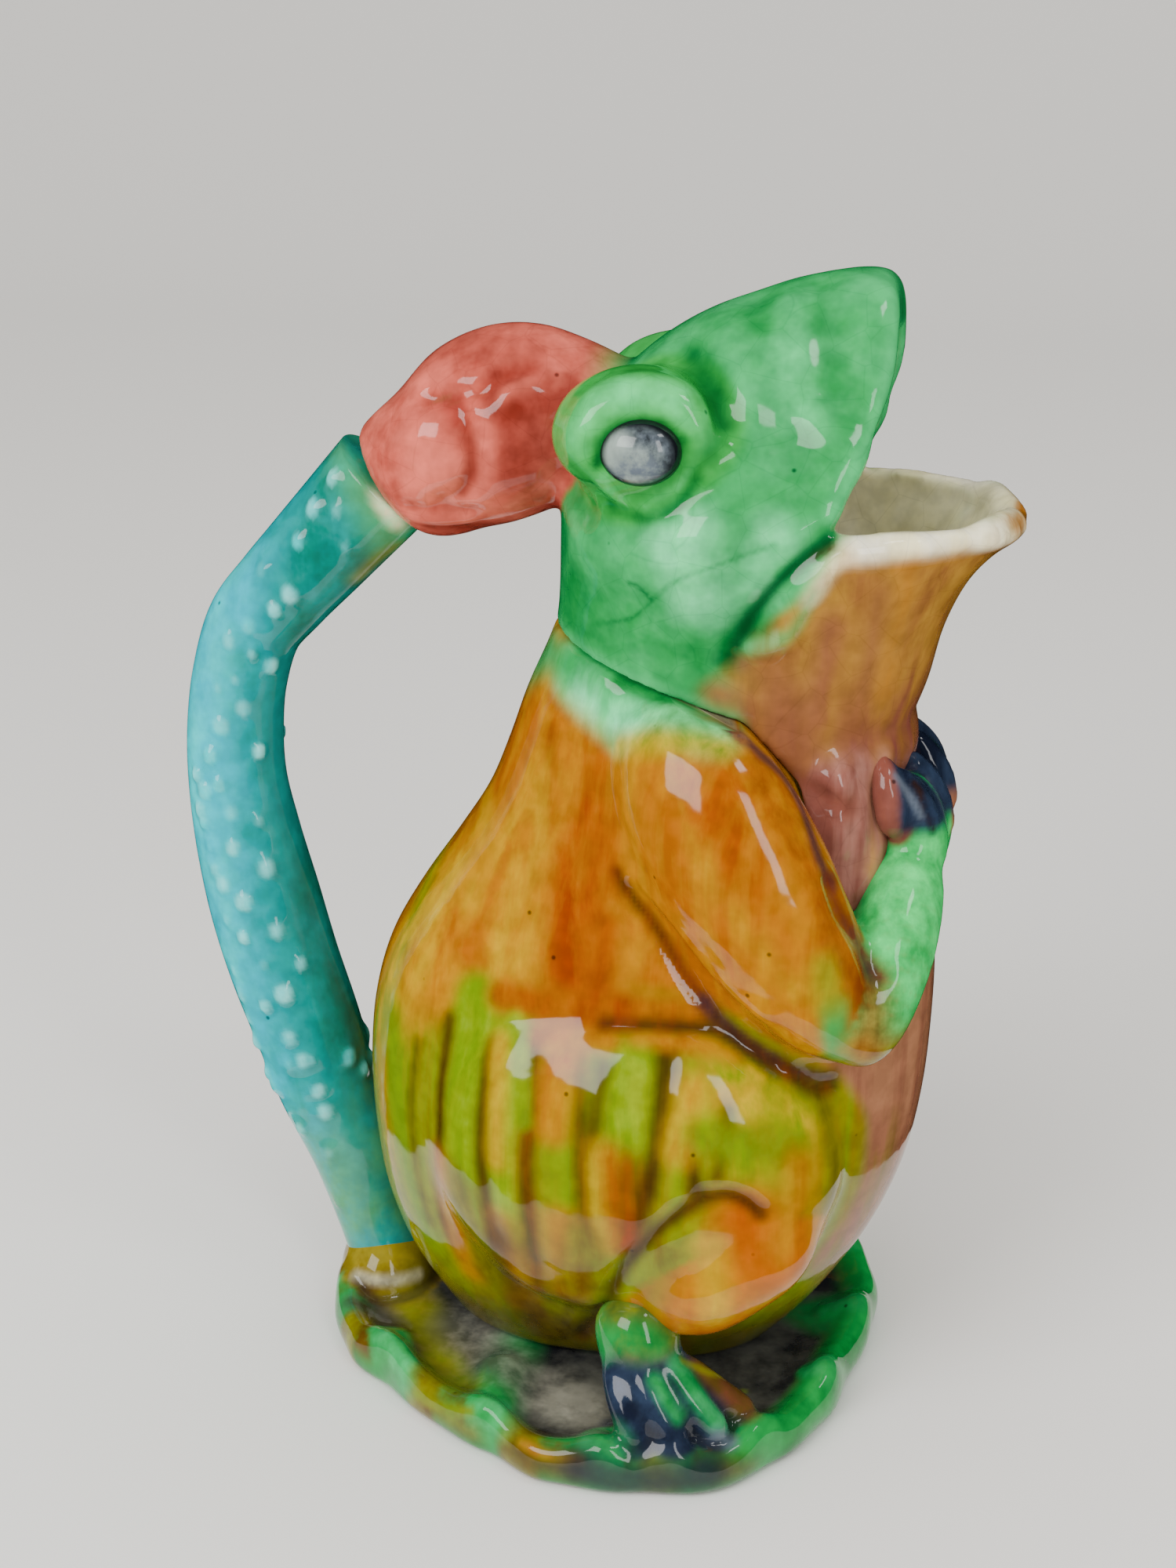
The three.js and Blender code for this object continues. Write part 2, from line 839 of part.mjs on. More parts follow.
const body = vessel(0);
const bodyGrown = vessel(jointGap).add(mirrored(vessel(jointGap)));
const hollow = cavity();
const mouth = mouthOpening();
const shell = body.subtract(hollow).subtract(mouth);
const pouchGrown = pouch(jointGap);
addPiece("lily_pad", pad(0), colours.padGreen);
addPiece("torso_shell", shell.subtract(aboveNeck(0)), colours.bodyOrange);

const headAndThroat = shell.intersect(aboveNeck(jointGap));
addPiece(
  "head_shell",
  headAndThroat.subtract(throatRegion(jointGap)),
  colours.headGreen,
);
addPiece(
  "throat_spout",
  headAndThroat.intersect(throatRegion(0)),
  colours.throatBrown,
);

addPiece(
  "throat_pouch",
  pouch(0).subtract(bodyGrown),
  colours.throatBrown,
);

const budSolid = bud(0)
  .subtract(bodyGrown)
  .subtract(eyelid(jointGap))
  .subtract(mirrored(eyelid(jointGap)));
addPiece("handle_bud", budSolid, colours.budRed);
const stemSolid = stem(0).subtract(bodyGrown).subtract(bud(jointGap));
addPiece("handle_stem", stemSolid, colours.stemTeal);
addPiece(
  "stem_root",
  root(0)
    .subtract(bodyGrown)
    .subtract(stem(jointGap))
    .subtract(underFloor())
    .subtract(pad(jointGap)),
  colours.rootOlive,
);

// A copy of a solid across the frog's plane of symmetry
function mirrored(solid) {
  const geometry = geometryOf(solid);
  geometry.scale(1, -1, 1);
  const position = geometry.getAttribute("position");
  for (let i = 0; i < position.count; i += 3) {
    const second = new THREE.Vector3().fromBufferAttribute(position, i + 1);
    const third = new THREE.Vector3().fromBufferAttribute(position, i + 2);
    position.setXYZ(i + 1, third.x, third.y, third.z);
    position.setXYZ(i + 2, second.x, second.y, second.z);
  }
  return solidOf(geometry);
}

// The space that the pad's floor fills, and the joint above it
function underFloor() {
  const depth = torsoBase + cutOverrun;
  const block = new THREE.CylinderGeometry(padRadius, padRadius, depth);
  block.rotateX(Math.PI / 2);
  block.translate(0, 0, torsoBase - depth / 2);
  return solidOf(block);
}

const rightSide = {
  upper_arm: [
    () => upperArm(0).subtract(bodyGrown).subtract(pouchGrown),
    colours.bodyOrange,
  ],
  forearm: [
    () =>
      forearm(0)
        .subtract(bodyGrown)
        .subtract(upperArm(jointGap))
        .subtract(pouchGrown),
    colours.handGreen,
  ],
  hand: [
    () =>
      hand(0)
        .subtract(bodyGrown)
        .subtract(forearm(jointGap))
        .subtract(pouchGrown),
    colours.footBlue,
  ],
  haunch: [
    () => haunch(0).subtract(bodyGrown).subtract(upperArm(jointGap)),
    colours.haunchOlive,
  ],
  shank: [
    () => shank(0).subtract(bodyGrown).subtract(haunch(jointGap)),
    colours.bodyOrange,
  ],
  foot: [
    () =>
      foot(0)
        .subtract(bodyGrown)
        .subtract(haunch(jointGap))
        .subtract(shank(jointGap))
        .subtract(pad(jointGap))
        .subtract(mirrored(pad(jointGap))),
    colours.footBlue,
  ],
  eyelid: [
    () => eyelid(0).subtract(bodyGrown).subtract(eyeball(jointGap)),
    colours.headGreen,
  ],
  eyeball: [() => eyeball(0).subtract(bodyGrown), colours.eyeGrey],
};

const leftHalf = new THREE.Group();
leftHalf.scale.y = -1;
pitcher.add(leftHalf);

for (const [name, [make, colour]] of Object.entries(rightSide)) {
  const solid = make();
  addPiece("right_" + name, solid, colour);
  addPiece("left_" + name, solid, colour, leftHalf);
}

export default pitcher;
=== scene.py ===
import json
import math

import bmesh
import bpy
import numpy as np
from mathutils import Matrix, Vector
from mathutils.bvhtree import BVHTree
from mathutils.kdtree import KDTree

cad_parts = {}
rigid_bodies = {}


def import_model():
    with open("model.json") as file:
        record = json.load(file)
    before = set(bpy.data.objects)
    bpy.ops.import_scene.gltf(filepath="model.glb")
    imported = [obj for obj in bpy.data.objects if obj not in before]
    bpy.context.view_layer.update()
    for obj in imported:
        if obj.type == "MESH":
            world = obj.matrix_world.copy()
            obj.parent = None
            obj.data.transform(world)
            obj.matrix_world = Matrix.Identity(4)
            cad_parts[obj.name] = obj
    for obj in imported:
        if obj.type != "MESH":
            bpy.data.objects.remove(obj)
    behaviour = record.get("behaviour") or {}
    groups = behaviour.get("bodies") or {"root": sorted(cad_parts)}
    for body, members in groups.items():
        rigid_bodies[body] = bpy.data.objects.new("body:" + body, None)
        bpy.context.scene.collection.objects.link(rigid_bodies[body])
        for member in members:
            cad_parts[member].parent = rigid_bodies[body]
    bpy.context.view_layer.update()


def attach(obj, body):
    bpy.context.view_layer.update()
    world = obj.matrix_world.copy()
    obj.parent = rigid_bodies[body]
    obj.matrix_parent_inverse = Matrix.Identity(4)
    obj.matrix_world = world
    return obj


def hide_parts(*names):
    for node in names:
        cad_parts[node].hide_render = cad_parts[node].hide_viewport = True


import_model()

# A glazed earthenware frog pitcher on a lily pad.
# Forms are worked in millimetres as in the CAD source, and stored in metres at the end.
# The right side (-Y) is the one described; a point on the left reads it from its mirror image.

MM = 0.001

# The photograph's camera: where it stands, which way it looks, and its focal length in pixels

IMAGE_WIDE, IMAGE_HIGH = 1500, 2000
FOCAL = 2675.0
EYE = np.array([76.7, -394.6, 271.0])
HEADING = math.radians(101.535)
PITCH = math.radians(19.8)
SENSOR = 36.0

FORWARD = np.array([
    math.cos(HEADING) * math.cos(PITCH),
    math.sin(HEADING) * math.cos(PITCH),
    -math.sin(PITCH),
])
RIGHT = np.array([math.sin(HEADING), -math.cos(HEADING), 0.0])
UP = np.cross(RIGHT, FORWARD)


def make_camera():
    data = bpy.data.cameras.new("photograph")
    data.sensor_width = SENSOR
    data.lens = FOCAL / IMAGE_HIGH * SENSOR
    data.clip_start, data.clip_end = 0.01, 20
    camera = bpy.data.objects.new("photograph", data)
    bpy.context.scene.collection.objects.link(camera)
    turn = Matrix(np.column_stack([RIGHT, UP, -FORWARD]).tolist()).to_4x4()
    camera.matrix_world = Matrix.Translation(EYE * MM) @ turn
    bpy.context.scene.camera = camera


# Curves and surfaces

def catmull(points, t):
    """Points at shares t of the centripetal Catmull-Rom curve through the given points."""
    p = np.asarray(points, float)
    around = np.vstack([2 * p[0] - p[1], p, 2 * p[-1] - p[-2]])
    place = np.clip(np.asarray(t, float), 0, 1) * (len(p) - 1)
    i = np.minimum(place.astype(int), len(p) - 2)
    w = (place - i)[..., None]
    a, b, c, d = (around[i + k] for k in range(4))
    gaps = [
        np.sqrt(np.maximum(np.linalg.norm(q - r, axis=-1, keepdims=True), 1e-4))
        for q, r in ((a, b), (b, c), (c, d))
    ]
    g0, g1, g2 = gaps
    out = ((b - a) / g0 - (c - a) / (g0 + g1) + (c - b) / g1) * g1
    into = ((c - b) / g1 - (d - b) / (g1 + g2) + (d - c) / g2) * g1
    return b + out * w + (3 * (c - b) - 2 * out - into) * w**2 + (2 * (b - c) + out + into) * w**3


def section_surface(back, front, half, power, taper=None):
    """A surface through upright sections, from back to front with a half width and its taper."""
    if taper is None:
        taper = np.zeros(len(half))
    widths = np.column_stack([np.arange(len(half)), half, taper])

    def rounded(value):
        return np.sign(value) * np.abs(value) ** (2 / power)

    def place(t, angle):
        b, f = catmull(back, t), catmull(front, t)
        share = (1 + rounded(np.cos(angle))) / 2
        wide, lost = np.moveaxis(catmull(widths, t), -1, 0)[1:]
        made = b + (f - b) * share[..., None]
        made[..., 1] += wide * (1 - lost * share) * rounded(np.sin(angle))
        return made

    return place


def grown(place, by):
    """The surface moved out along its normals."""
    small = 1e-3

    def moved(t, angle):
        along = place(np.minimum(t + small, 1), angle) - place(np.maximum(t - small, 0), angle)
        around = place(t, angle + small) - place(t, angle - small)
        normal = np.cross(around, along)
        normal /= np.maximum(np.linalg.norm(normal, axis=-1, keepdims=True), 1e-9)
        return place(t, angle) + by * normal

    return moved


def tube(spine, t, angle, wide, deep):
    """Places round a spine at shares t of it, with its half thicknesses towards Y and across it."""
    step = 0.01
    tangent = catmull(spine, t + step) - catmull(spine, t - step)
    tangent /= np.linalg.norm(tangent, axis=-1, keepdims=True)
    across = np.array([0.0, 1.0, 0.0]) - tangent * tangent[..., 1:2]
    across /= np.linalg.norm(across, axis=-1, keepdims=True)
    other = np.cross(tangent, across)
    return (
        catmull(spine, t)
        + across * (wide * np.cos(angle))[..., None]
        + other * (deep * np.sin(angle))[..., None]
    )


def limb(stations, end_power=3.2):
    """A limb through stations of x, y, z, half thickness towards Y and half depth.

    Its ends are rounded: an end power of 2 makes them elliptic, and more makes them blunter.
    """
    stations = np.asarray(stations, float)
    spine = stations[:, :3]
    sizes = np.column_stack([np.arange(len(stations)), stations[:, 3:]])

    def place(share, angle):
        t = (1 - np.cos(np.pi * share)) / 2
        swell = (1 - np.abs(2 * t - 1) ** end_power) ** (1 / end_power)
        wide, deep = (catmull(sizes, t)[..., k] * swell for k in (1, 2))
        return tube(spine, t, angle, wide, deep)

    return place


def ball(centre, lengths):
    def place(share, angle):
        ring = np.sin(np.pi * share)
        unit = np.stack([ring * np.cos(angle), ring * np.sin(angle), -np.cos(np.pi * share)], -1)
        return np.asarray(centre) + unit * np.asarray(lengths) / 2

    return place


# Meshes

def shell(place, sides, rings, capped=False):
    """A closed skin: a sphere whose points go where place puts their share upwards and angle."""
    bm = bmesh.new()
    bmesh.ops.create_uvsphere(bm, u_segments=sides, v_segments=rings, radius=1)
    unit = np.array([v.co for v in bm.verts])
    share = np.arccos(np.clip(-unit[:, 2], -1, 1)) / np.pi
    share = np.round(share * rings) / rings
    angle = np.arctan2(unit[:, 1], unit[:, 0])
    if capped:
        poles = (share == 0) | (share == 1)
        share = np.clip((share * rings - 1) / (rings - 2), 0, 1)
    made = place(share, angle)
    if capped:
        for end in (0, 1):
            made[poles & (share == end)] = made[~poles & (share == end)].mean(0)
    for vert, co in zip(bm.verts, made):
        vert.co = co
    bmesh.ops.recalc_face_normals(bm, faces=bm.faces)
    return as_object(bm)


def prism(outline, half_depth):
    """An outline of x and z drawn out to both sides."""
    bm = bmesh.new()
    verts = [bm.verts.new((x, -half_depth, z)) for x, z in outline]
    face = bm.faces.new(verts)
    made = bmesh.ops.extrude_face_region(bm, geom=[face])["geom"]
    moved = [v for v in made if isinstance(v, bmesh.types.BMVert)]
    bmesh.ops.translate(bm, verts=moved, vec=(0, 2 * half_depth, 0))
    bmesh.ops.triangulate(bm, faces=bm.faces)
    bmesh.ops.recalc_face_normals(bm, faces=bm.faces)
    return as_object(bm)


def as_object(bm, name="form"):
    mesh = bpy.data.meshes.new(name)
    bm.to_mesh(mesh)
    bm.free()
    made = bpy.data.objects.new(name, mesh)
    bpy.context.scene.collection.objects.link(made)
    return made


def mirrored(form):
    """The form on the other side of the middle plane."""
    bm = bmesh.new()
    bm.from_mesh(form.data)
    bmesh.ops.transform(bm, matrix=Matrix.Diagonal((1, -1, 1, 1)), verts=bm.verts)
    bmesh.ops.reverse_faces(bm, faces=bm.faces)
    return as_object(bm)


def settle(piece):
    """Makes the piece's modifiers part of its mesh."""
    graph = bpy.context.evaluated_depsgraph_get()
    graph.update()
    mesh = bpy.data.meshes.new_from_object(piece.evaluated_get(graph))
    piece.modifiers.clear()
    piece.data = mesh
    return piece


def joined(forms):
    bm = bmesh.new()
    for form in forms:
        bm.from_mesh(form.data)
    return as_object(bm)


def cut(piece, cutter):
    """Takes the cutter's form out of the piece."""
    bite = piece.modifiers.new("cut", "BOOLEAN")
    bite.solver = "MANIFOLD"
    bite.operation = "DIFFERENCE"
    bite.object = cutter
    return settle(piece)


def surface_tree(form):
    """A form's faces, sorted so that places on it are found quickly."""
    bm = bmesh.new()
    bm.from_mesh(form.data)
    made = BVHTree.FromBMesh(bm)
    bm.free()
    return made


def fused(forms, voxel):
    """Closed forms melted into one skin of even faces."""
    piece = joined(forms)
    melt = piece.modifiers.new("melt", "REMESH")
    melt.mode = "VOXEL"
    melt.voxel_size = voxel
    return settle(piece)


# how far towards their neighbours' mean the points go in the two passes that even out a skin
EVEN_PASSES = (0.5, -0.52)


class Clay:
    """The points of a piece as arrays, in millimetres."""

    def __init__(self, piece):
        self.piece = piece
        self.reread()

    def reread(self):
        mesh = self.piece.data
        self.count = len(mesh.vertices)
        self.co = np.zeros(self.count * 3)
        mesh.vertices.foreach_get("co", self.co)
        self.co = self.co.reshape(-1, 3)
        self.edges = np.zeros(len(mesh.edges) * 2, int)
        mesh.edges.foreach_get("vertices", self.edges)
        self.edges = self.edges.reshape(-1, 2)
        self.valence = np.maximum(np.bincount(self.edges.ravel(), minlength=self.count), 1)

    def store(self):
        self.piece.data.vertices.foreach_set("co", self.co.ravel())
        self.piece.data.update()

    def normals(self):
        self.store()
        out = np.zeros(self.count * 3)
        self.piece.data.vertices.foreach_get("normal", out)
        return out.reshape(-1, 3)

    def folded(self):
        """The points, with those of the left side put at their mirror image on the right."""
        return self.co * (1, 0, 1) - np.abs(self.co) * (0, 1, 0)

    def around(self, values):
        """The mean of each point's neighbours."""
        first, second = self.edges.T
        values = values.reshape(self.count, -1)
        out = np.empty_like(values)
        for k in range(values.shape[1]):
            column = values[:, k]
            total = np.bincount(first, column[second], self.count)
            total += np.bincount(second, column[first], self.count)
            out[:, k] = total / self.valence
        return out

    def relax(self, rounds, weight=0.5):
        weight = np.broadcast_to(np.asarray(weight, float).reshape(-1, 1), (self.count, 1))
        for _ in range(rounds):
            self.co += weight * (self.around(self.co) - self.co)

    def even(self, rounds):
        """Takes out ripples: each pass in is followed by a stronger one out, so nothing shrinks."""
        for _ in range(rounds):
            for weight in EVEN_PASSES:
                self.relax(1, weight)

    def blur(self, values, rounds):
        values = values.reshape(self.count, -1)
        for _ in range(rounds):
            values = (values + self.around(values)) / 2
        return values

    def push(self, amount):
        self.co += self.normals() * amount[:, None]

    def tree(self):
        self.store()
        return surface_tree(self.piece)

    def hollows(self, rounds):
        """How concave each point is, from -1 on a ridge to 1 in a crease."""
        normals = self.normals()
        bend = np.einsum("ij,ij->i", self.around(self.co) - self.co, normals)
        bend = self.blur(bend, rounds)[:, 0]
        return np.clip(bend / (3 * bend.std() + 1e-9), -1, 1)


# a ray that misses the piece takes the point nearest to where it passes the axis, about this high
MISS_HEIGHT = 80
# a stroke's points are this far apart, and at most so many
STROKE_STEP, STROKE_PARTS = 2.5, 40
# how many radii a modelled stroke reaches, and the line that a smoothing follows
STROKE_REACH, LINE_REACH = 3, 2.5
# the lowest and the highest that strokes together move the surface
DEEPEST, HIGHEST = -2.3, 3


def on_surface(tree, pixels):
    """The places on the surface that the photograph shows at these pixels."""
    found = []
    for u, v in pixels:
        ray = FORWARD * FOCAL + RIGHT * (u - IMAGE_WIDE / 2) - UP * (v - IMAGE_HIGH / 2)
        ray /= np.linalg.norm(ray)
        hit = tree.ray_cast(Vector(EYE), Vector(ray))[0]
        if hit is None:
            reach = -(EYE @ ray) + MISS_HEIGHT * ray[2]
            hit = tree.find_nearest(Vector(EYE + ray * reach))[0]
        found.append(hit)
    return np.array(found, float)


def stroke_on(tree, pixels):
    """A smooth line on the surface through places named by pixel."""
    line = on_surface(tree, pixels)
    if len(line) < 2:
        return np.vstack([line, line + (0, 0, 0.01)])
    length = np.linalg.norm(np.diff(line, axis=0), axis=1).sum()
    parts = int(np.clip(length / STROKE_STEP, len(line), STROKE_PARTS))
    return catmull(line, np.linspace(0, 1, parts + 1))


def distance(points, line):
    """How far each point is from a line of places."""
    nearest = np.full(len(points), np.inf)
    for a, b in zip(line[:-1], line[1:]):
        way = b - a
        share = np.clip((points - a) @ way / max(way @ way, 1e-12), 0, 1)
        gap = np.linalg.norm(points - a - share[:, None] * way, axis=1)
        nearest = np.minimum(nearest, gap)
    return nearest


def near_line(points, line, reach):
    """The numbers of the points about a line, and how far each is from it."""
    low, high = line.min(0) - reach, line.max(0) + reach
    close = np.flatnonzero(np.all((points > low) & (points < high), axis=1))
    return close, distance(points[close], line)


def model_strokes(clay, strokes):
    """Ridges and grooves: each is (height, radius, pixels), the height negative for a groove."""
    tree = clay.tree()
    points = clay.folded()
    lift = np.zeros(clay.count)
    for height, radius, pixels in strokes:
        close, gap = near_line(points, stroke_on(tree, pixels), STROKE_REACH * radius)
        lift[close] += height * np.exp(-((gap / radius) ** 2))
    clay.push(np.clip(lift, DEEPEST, HIGHEST))


def along(clay, pixels, radius):
    """1 on a line named by pixels, falling smoothly beside it."""
    close, gap = near_line(clay.folded(), stroke_on(clay.tree(), pixels), LINE_REACH * radius)
    found = np.zeros(clay.count)
    found[close] = np.exp(-((gap / radius) ** 2))
    return found


def steps(value, low, high):
    """0 below low, 1 above high, and smooth between."""
    share = np.clip((value - low) / (high - low), 0, 1)
    return share * share * (3 - 2 * share)


def nearness(clay, form, reach):
    """1 on a form of the right side and close to it, falling to 0 at reach from it."""
    tree = KDTree(len(form.data.vertices))
    for i, vert in enumerate(form.data.vertices):
        tree.insert(vert.co, i)
    tree.balance()
    gaps = np.array([tree.find(Vector(p))[2] for p in clay.folded()])
    return 1 - steps(gaps, 0.4 * reach, reach)


# Colour: the glazes by name, as the pale fired clay shows them through the glass. Some of them are
# also laid as painted highlights and painted shade

GLAZES = {
    "green": "#108d41", "deep green": "#016e2b", "dark green": "#033d19", "light green": "#2ea35a",
    "eye green": "#279232", "eye green light": "#3bad48", "mint": "#4cdb85", "pale mint": "#84fab8",
    "orange": "#9e5601", "deep orange": "#862f01", "amber yellow": "#b07701", "yellow": "#bd9c01",
    "yellow green": "#738401", "tongue": "#648301", "tongue light": "#859802", "olive": "#6d6a06",
    "brown": "#442806", "dark brown": "#321c08", "purple brown": "#44282a", "red brown": "#6a2c0c",
    "throat": "#ab7c2f", "throat brown": "#8a5a2c", "throat purple": "#7c4438", "lobe": "#7e4a40",
    "lobe light": "#a47264", "amber": "#a8681c", "cream": "#f6ecbc", "cream light": "#fbf4da",
    "inside": "#ddd6a6", "inside light": "#dcd6b4", "calf": "#aa5f01", "calf red": "#a74a01",
    "belly": "#9c6a4c", "belly dark": "#80503c", "hand green": "#0da048", "hand light": "#41e173",
    "navy": "#161c2c", "navy light": "#2c3a50", "slate": "#5d6672",
    "stem": "#02acbe", "stem light": "#22d0d2", "stem white": "#98f2ee", "stem deep": "#028a86",
    "stem inner": "#015e42", "stem green": "#4f9a58",
    "bud": "#a23f34", "bud light": "#dc6c5a", "bud deep": "#641c12", "bud dark": "#7a2418",
    "leaf green": "#0c8c3c", "leaf mint": "#36ac62", "leaf black": "#1e1f22",
    "leaf grey": "#4c4c46",
    "leaf olive": "#7a7c10", "leaf brown": "#58400c", "root": "#8c7c1c", "ash": "#918e7e",
    "eye grey": "#5e686c", "eye pale": "#8e9c94", "eye dark": "#14171b",
}


def linear(code):
    """A hex colour as the three linear values that shaders use."""
    parts = [int(code[i : i + 2], 16) / 255 for i in (1, 3, 5)]
    return np.array([c / 12.92 if c <= 0.04045 else ((c + 0.055) / 1.055) ** 2.4 for c in parts])


class Paint:
    """Two glazes over each point: the ground one and the one that runs or mottles through it."""

    def __init__(self, clay, ground, second):
        self.clay = clay
        self.ground = np.tile(linear(GLAZES[ground]), (clay.count, 1))
        self.second = np.tile(linear(GLAZES[second]), (clay.count, 1))
        self.flow = np.zeros(clay.count)
        self.tree = clay.tree()
        self.points = clay.folded()

    def lay(self, mask, ground, second=None):
        mask = np.asarray(mask)[:, None]
        self.ground += mask * (linear(GLAZES[ground]) - self.ground)
        self.second += mask * (linear(GLAZES[second or ground]) - self.second)

    def strokes(self, rows):
        """Each row is (strength, radius, softness, ground, second, pixels)."""
        for strength, radius, soft, ground, second, pixels in rows:
            close, gap = near_line(self.points, stroke_on(self.tree, pixels), radius + soft)
            mask = np.zeros(self.clay.count)
            mask[close] = strength * (1 - steps(gap, radius - soft, radius + soft))
            self.lay(mask, ground, second)

    def store(self):
        mesh = self.clay.piece.data
        for name, colour, extra in (
            ("glaze", self.ground, self.flow),
            ("glaze_second", self.second, np.ones(self.clay.count)),
        ):
            made = mesh.color_attributes.new(name, "FLOAT_COLOR", "POINT")
            made.data.foreach_set("color", np.column_stack([colour, extra]).ravel())


# Driving sizes, as in the CAD source

TORSO_BASE = 6.8
TORSO = np.array([118, 42, 155.5])
NAPE = np.array([-9.44, 0, 162.3])
HEAD = np.array([90, 37, 70])
PAD_RADIUS = 60
PAD_FLOOR = 6.5
TOE = 7
FINGER = 7
WALL = 4.5
JAR_FLOOR = 7
# how many sections below the snout's tip the cavity ends
CAVITY_SHORT = 2.6
# how square the vessel's sections are: 2 is an ellipse
VESSEL_POWER = 2.25
# how far a cutter's outline runs past the piece
CUT_LEFT, CUT_RIGHT, CUT_BOTTOM, CUT_TOP, CUT_HALF_DEPTH = -90, 130, -60, 300, 90
MOUTH_OVER, MOUTH_BEYOND, MOUTH_HALF_DEPTH = 40, 20, 60


def on_torso(x, y, z):
    return np.array([x, y, z]) * TORSO + (0, 0, TORSO_BASE)


def on_head(x, y, z):
    return NAPE + np.array([x, y, z]) * HEAD


def on_pad(x, y, z):
    return np.array([x * PAD_RADIUS, y * PAD_RADIUS, TORSO_BASE + z])


# each section: x and z of its back, x and z of its front, and its half width
TORSO_SECTIONS = [
    (-0.28, 0, 0.33, 0, 0.6), (-0.325, 0.055, 0.385, 0.05, 0.72),
    (-0.37, 0.12, 0.44, 0.11, 0.83), (-0.403, 0.2, 0.5, 0.19, 0.93),
    (-0.418, 0.29, 0.545, 0.28, 0.985), (-0.422, 0.38, 0.568, 0.375, 1),
    (-0.411, 0.47, 0.576, 0.47, 0.985), (-0.381, 0.55, 0.576, 0.56, 0.945),
    (-0.326, 0.625, 0.564, 0.65, 0.885), (-0.258, 0.7, 0.547, 0.73, 0.82),
    (-0.2, 0.77, 0.527, 0.8, 0.765), (-0.162, 0.84, 0.513, 0.84, 0.72),
    (-0.132, 0.905, 0.508, 0.86, 0.695), (-0.08, 1, 0.508, 0.872, 0.69),
]
# the last number is the share of its width that a head section loses on the way to the front
HEAD_SECTIONS = [
    (0.01, 0.114, 0.811, -0.13, 0.83, 0), (0.013, 0.229, 0.84, 0.03, 0.9, 0),
    (0.017, 0.343, 0.892, 0.175, 0.96, 0), (0.033, 0.457, 0.985, 0.312, 1, 0.125),
    (0.078, 0.586, 1.03, 0.45, 0.95, 0.34), (0.161, 0.714, 0.99, 0.62, 0.8, 0.42),
    (0.272, 0.821, 0.94, 0.765, 0.6, 0.45), (0.417, 0.905, 0.88, 0.88, 0.41, 0.4),
    (0.55, 0.955, 0.815, 0.953, 0.25, 0.22), (0.64, 0.975, 0.75, 0.975, 0.1, 0.22),
]


def vessel_surface():
    back, front, half, taper = [], [], [], []
    for rows, on in ((TORSO_SECTIONS, on_torso), (HEAD_SECTIONS, on_head)):
        for xb, zb, xf, zf, width, *lost in rows:
            back.append(on(xb, 0, zb))
            front.append(on(xf, 0, zf))
            half.append(on(0, width, 0)[1])
            taper.append(lost[0] if lost else 0)
    back, front, half, taper = (np.array(values) for values in (back, front, half, taper))
    return section_surface(back, front, half, VESSEL_POWER, taper)


VESSEL = vessel_surface()
SECTIONS = len(TORSO_SECTIONS) + len(HEAD_SECTIONS)


def vessel(by=0.0):
    """The closed outside of torso and head, moved out by so many millimetres."""
    return shell(grown(VESSEL, by), 96, 110, capped=True)


def cavity():
    """The hollow of the jar, a wall's thickness inside the vessel."""
    first = (TORSO_BASE + JAR_FLOOR) / TORSO[2] / 2
    last = 1 - CAVITY_SHORT / (SECTIONS - 1)
    inner = grown(VESSEL, -WALL)
    return shell(lambda t, a: inner(first + (last - first) * t, a), 64, 60, capped=True)


CAVITY_SKIN = surface_tree(cavity())
# a point closer to the cavity's skin than this is on the inside of the head or the body
HEAD_INSIDE, BODY_INSIDE = 1.6, 0.7


def off_cavity(clay):
    """How far each point is from the cavity's skin."""
    return np.array([CAVITY_SKIN.find_nearest(Vector(p))[3] for p in clay.co])


# The open mouth from the side: up the upper lip, and back along the spout's rim
UPPER_LIP = [
    (0.618, 0.36), (0.64, 0.445), (0.664, 0.51), (0.68, 0.575), (0.698, 0.647),
    (0.712, 0.736), (0.716, 0.847), (0.713, 0.94), (0.69, 1),
]
SPOUT_RIM = [(1.25, 0.29), (1, 0.318), (0.9, 0.34), (0.75, 0.357), (0.65, 0.352)]
# The neck seam: from the nape straight to the first place, then down behind the arm
SEAM = [(0.2627, 0.9228), (0.34, 0.857), (0.375, 0.79), (0.4, 0.725), (0.43, 0.68)]


def head_place(x, z):
    return NAPE[0] + x * HEAD[0], NAPE[2] + z * HEAD[2]


SPOUT_TIP = (head_place(1.24, 0.3)[0], 0, head_place(1.24, 0.3)[1])


def mouth_opening():
    """What the open mouth takes away in front of the upper lip and over the spout's rim."""
    lip = catmull(np.array([head_place(*p) for p in UPPER_LIP]), np.linspace(0, 1, 19))
    rim = catmull(np.array([head_place(*p) for p in SPOUT_RIM]), np.linspace(0, 1, 13))
    top, far = lip[-1][1] + MOUTH_OVER, rim[0][0] + MOUTH_BEYOND
    return prism([*lip, (lip[-1][0], top), (far, top), (far, rim[0][1]), *rim], MOUTH_HALF_DEPTH)


def past_seam(above, straight=False):
    """Everything above the neck seam, or below it; the straight one runs on past the arm."""
    line = [on_torso(x, 0, z)[[0, 2]] for x, z in SEAM]
    slope = (line[0][1] - NAPE[2]) / (line[0][0] - NAPE[0])
    if straight:
        line = [line[0], (CUT_RIGHT, line[0][1] + slope * (CUT_RIGHT - line[0][0]))]
    start = (CUT_LEFT, NAPE[2] + slope * (CUT_LEFT - NAPE[0]))
    level = CUT_TOP if above else CUT_BOTTOM
    corners = [(CUT_RIGHT, line[-1][1]), (CUT_RIGHT, level), (CUT_LEFT, level)]
    return prism([start, *line, *corners], CUT_HALF_DEPTH)


# The frog's right limbs: x, y and z shares of the torso, then half thicknesses as shares of the
# number at the end

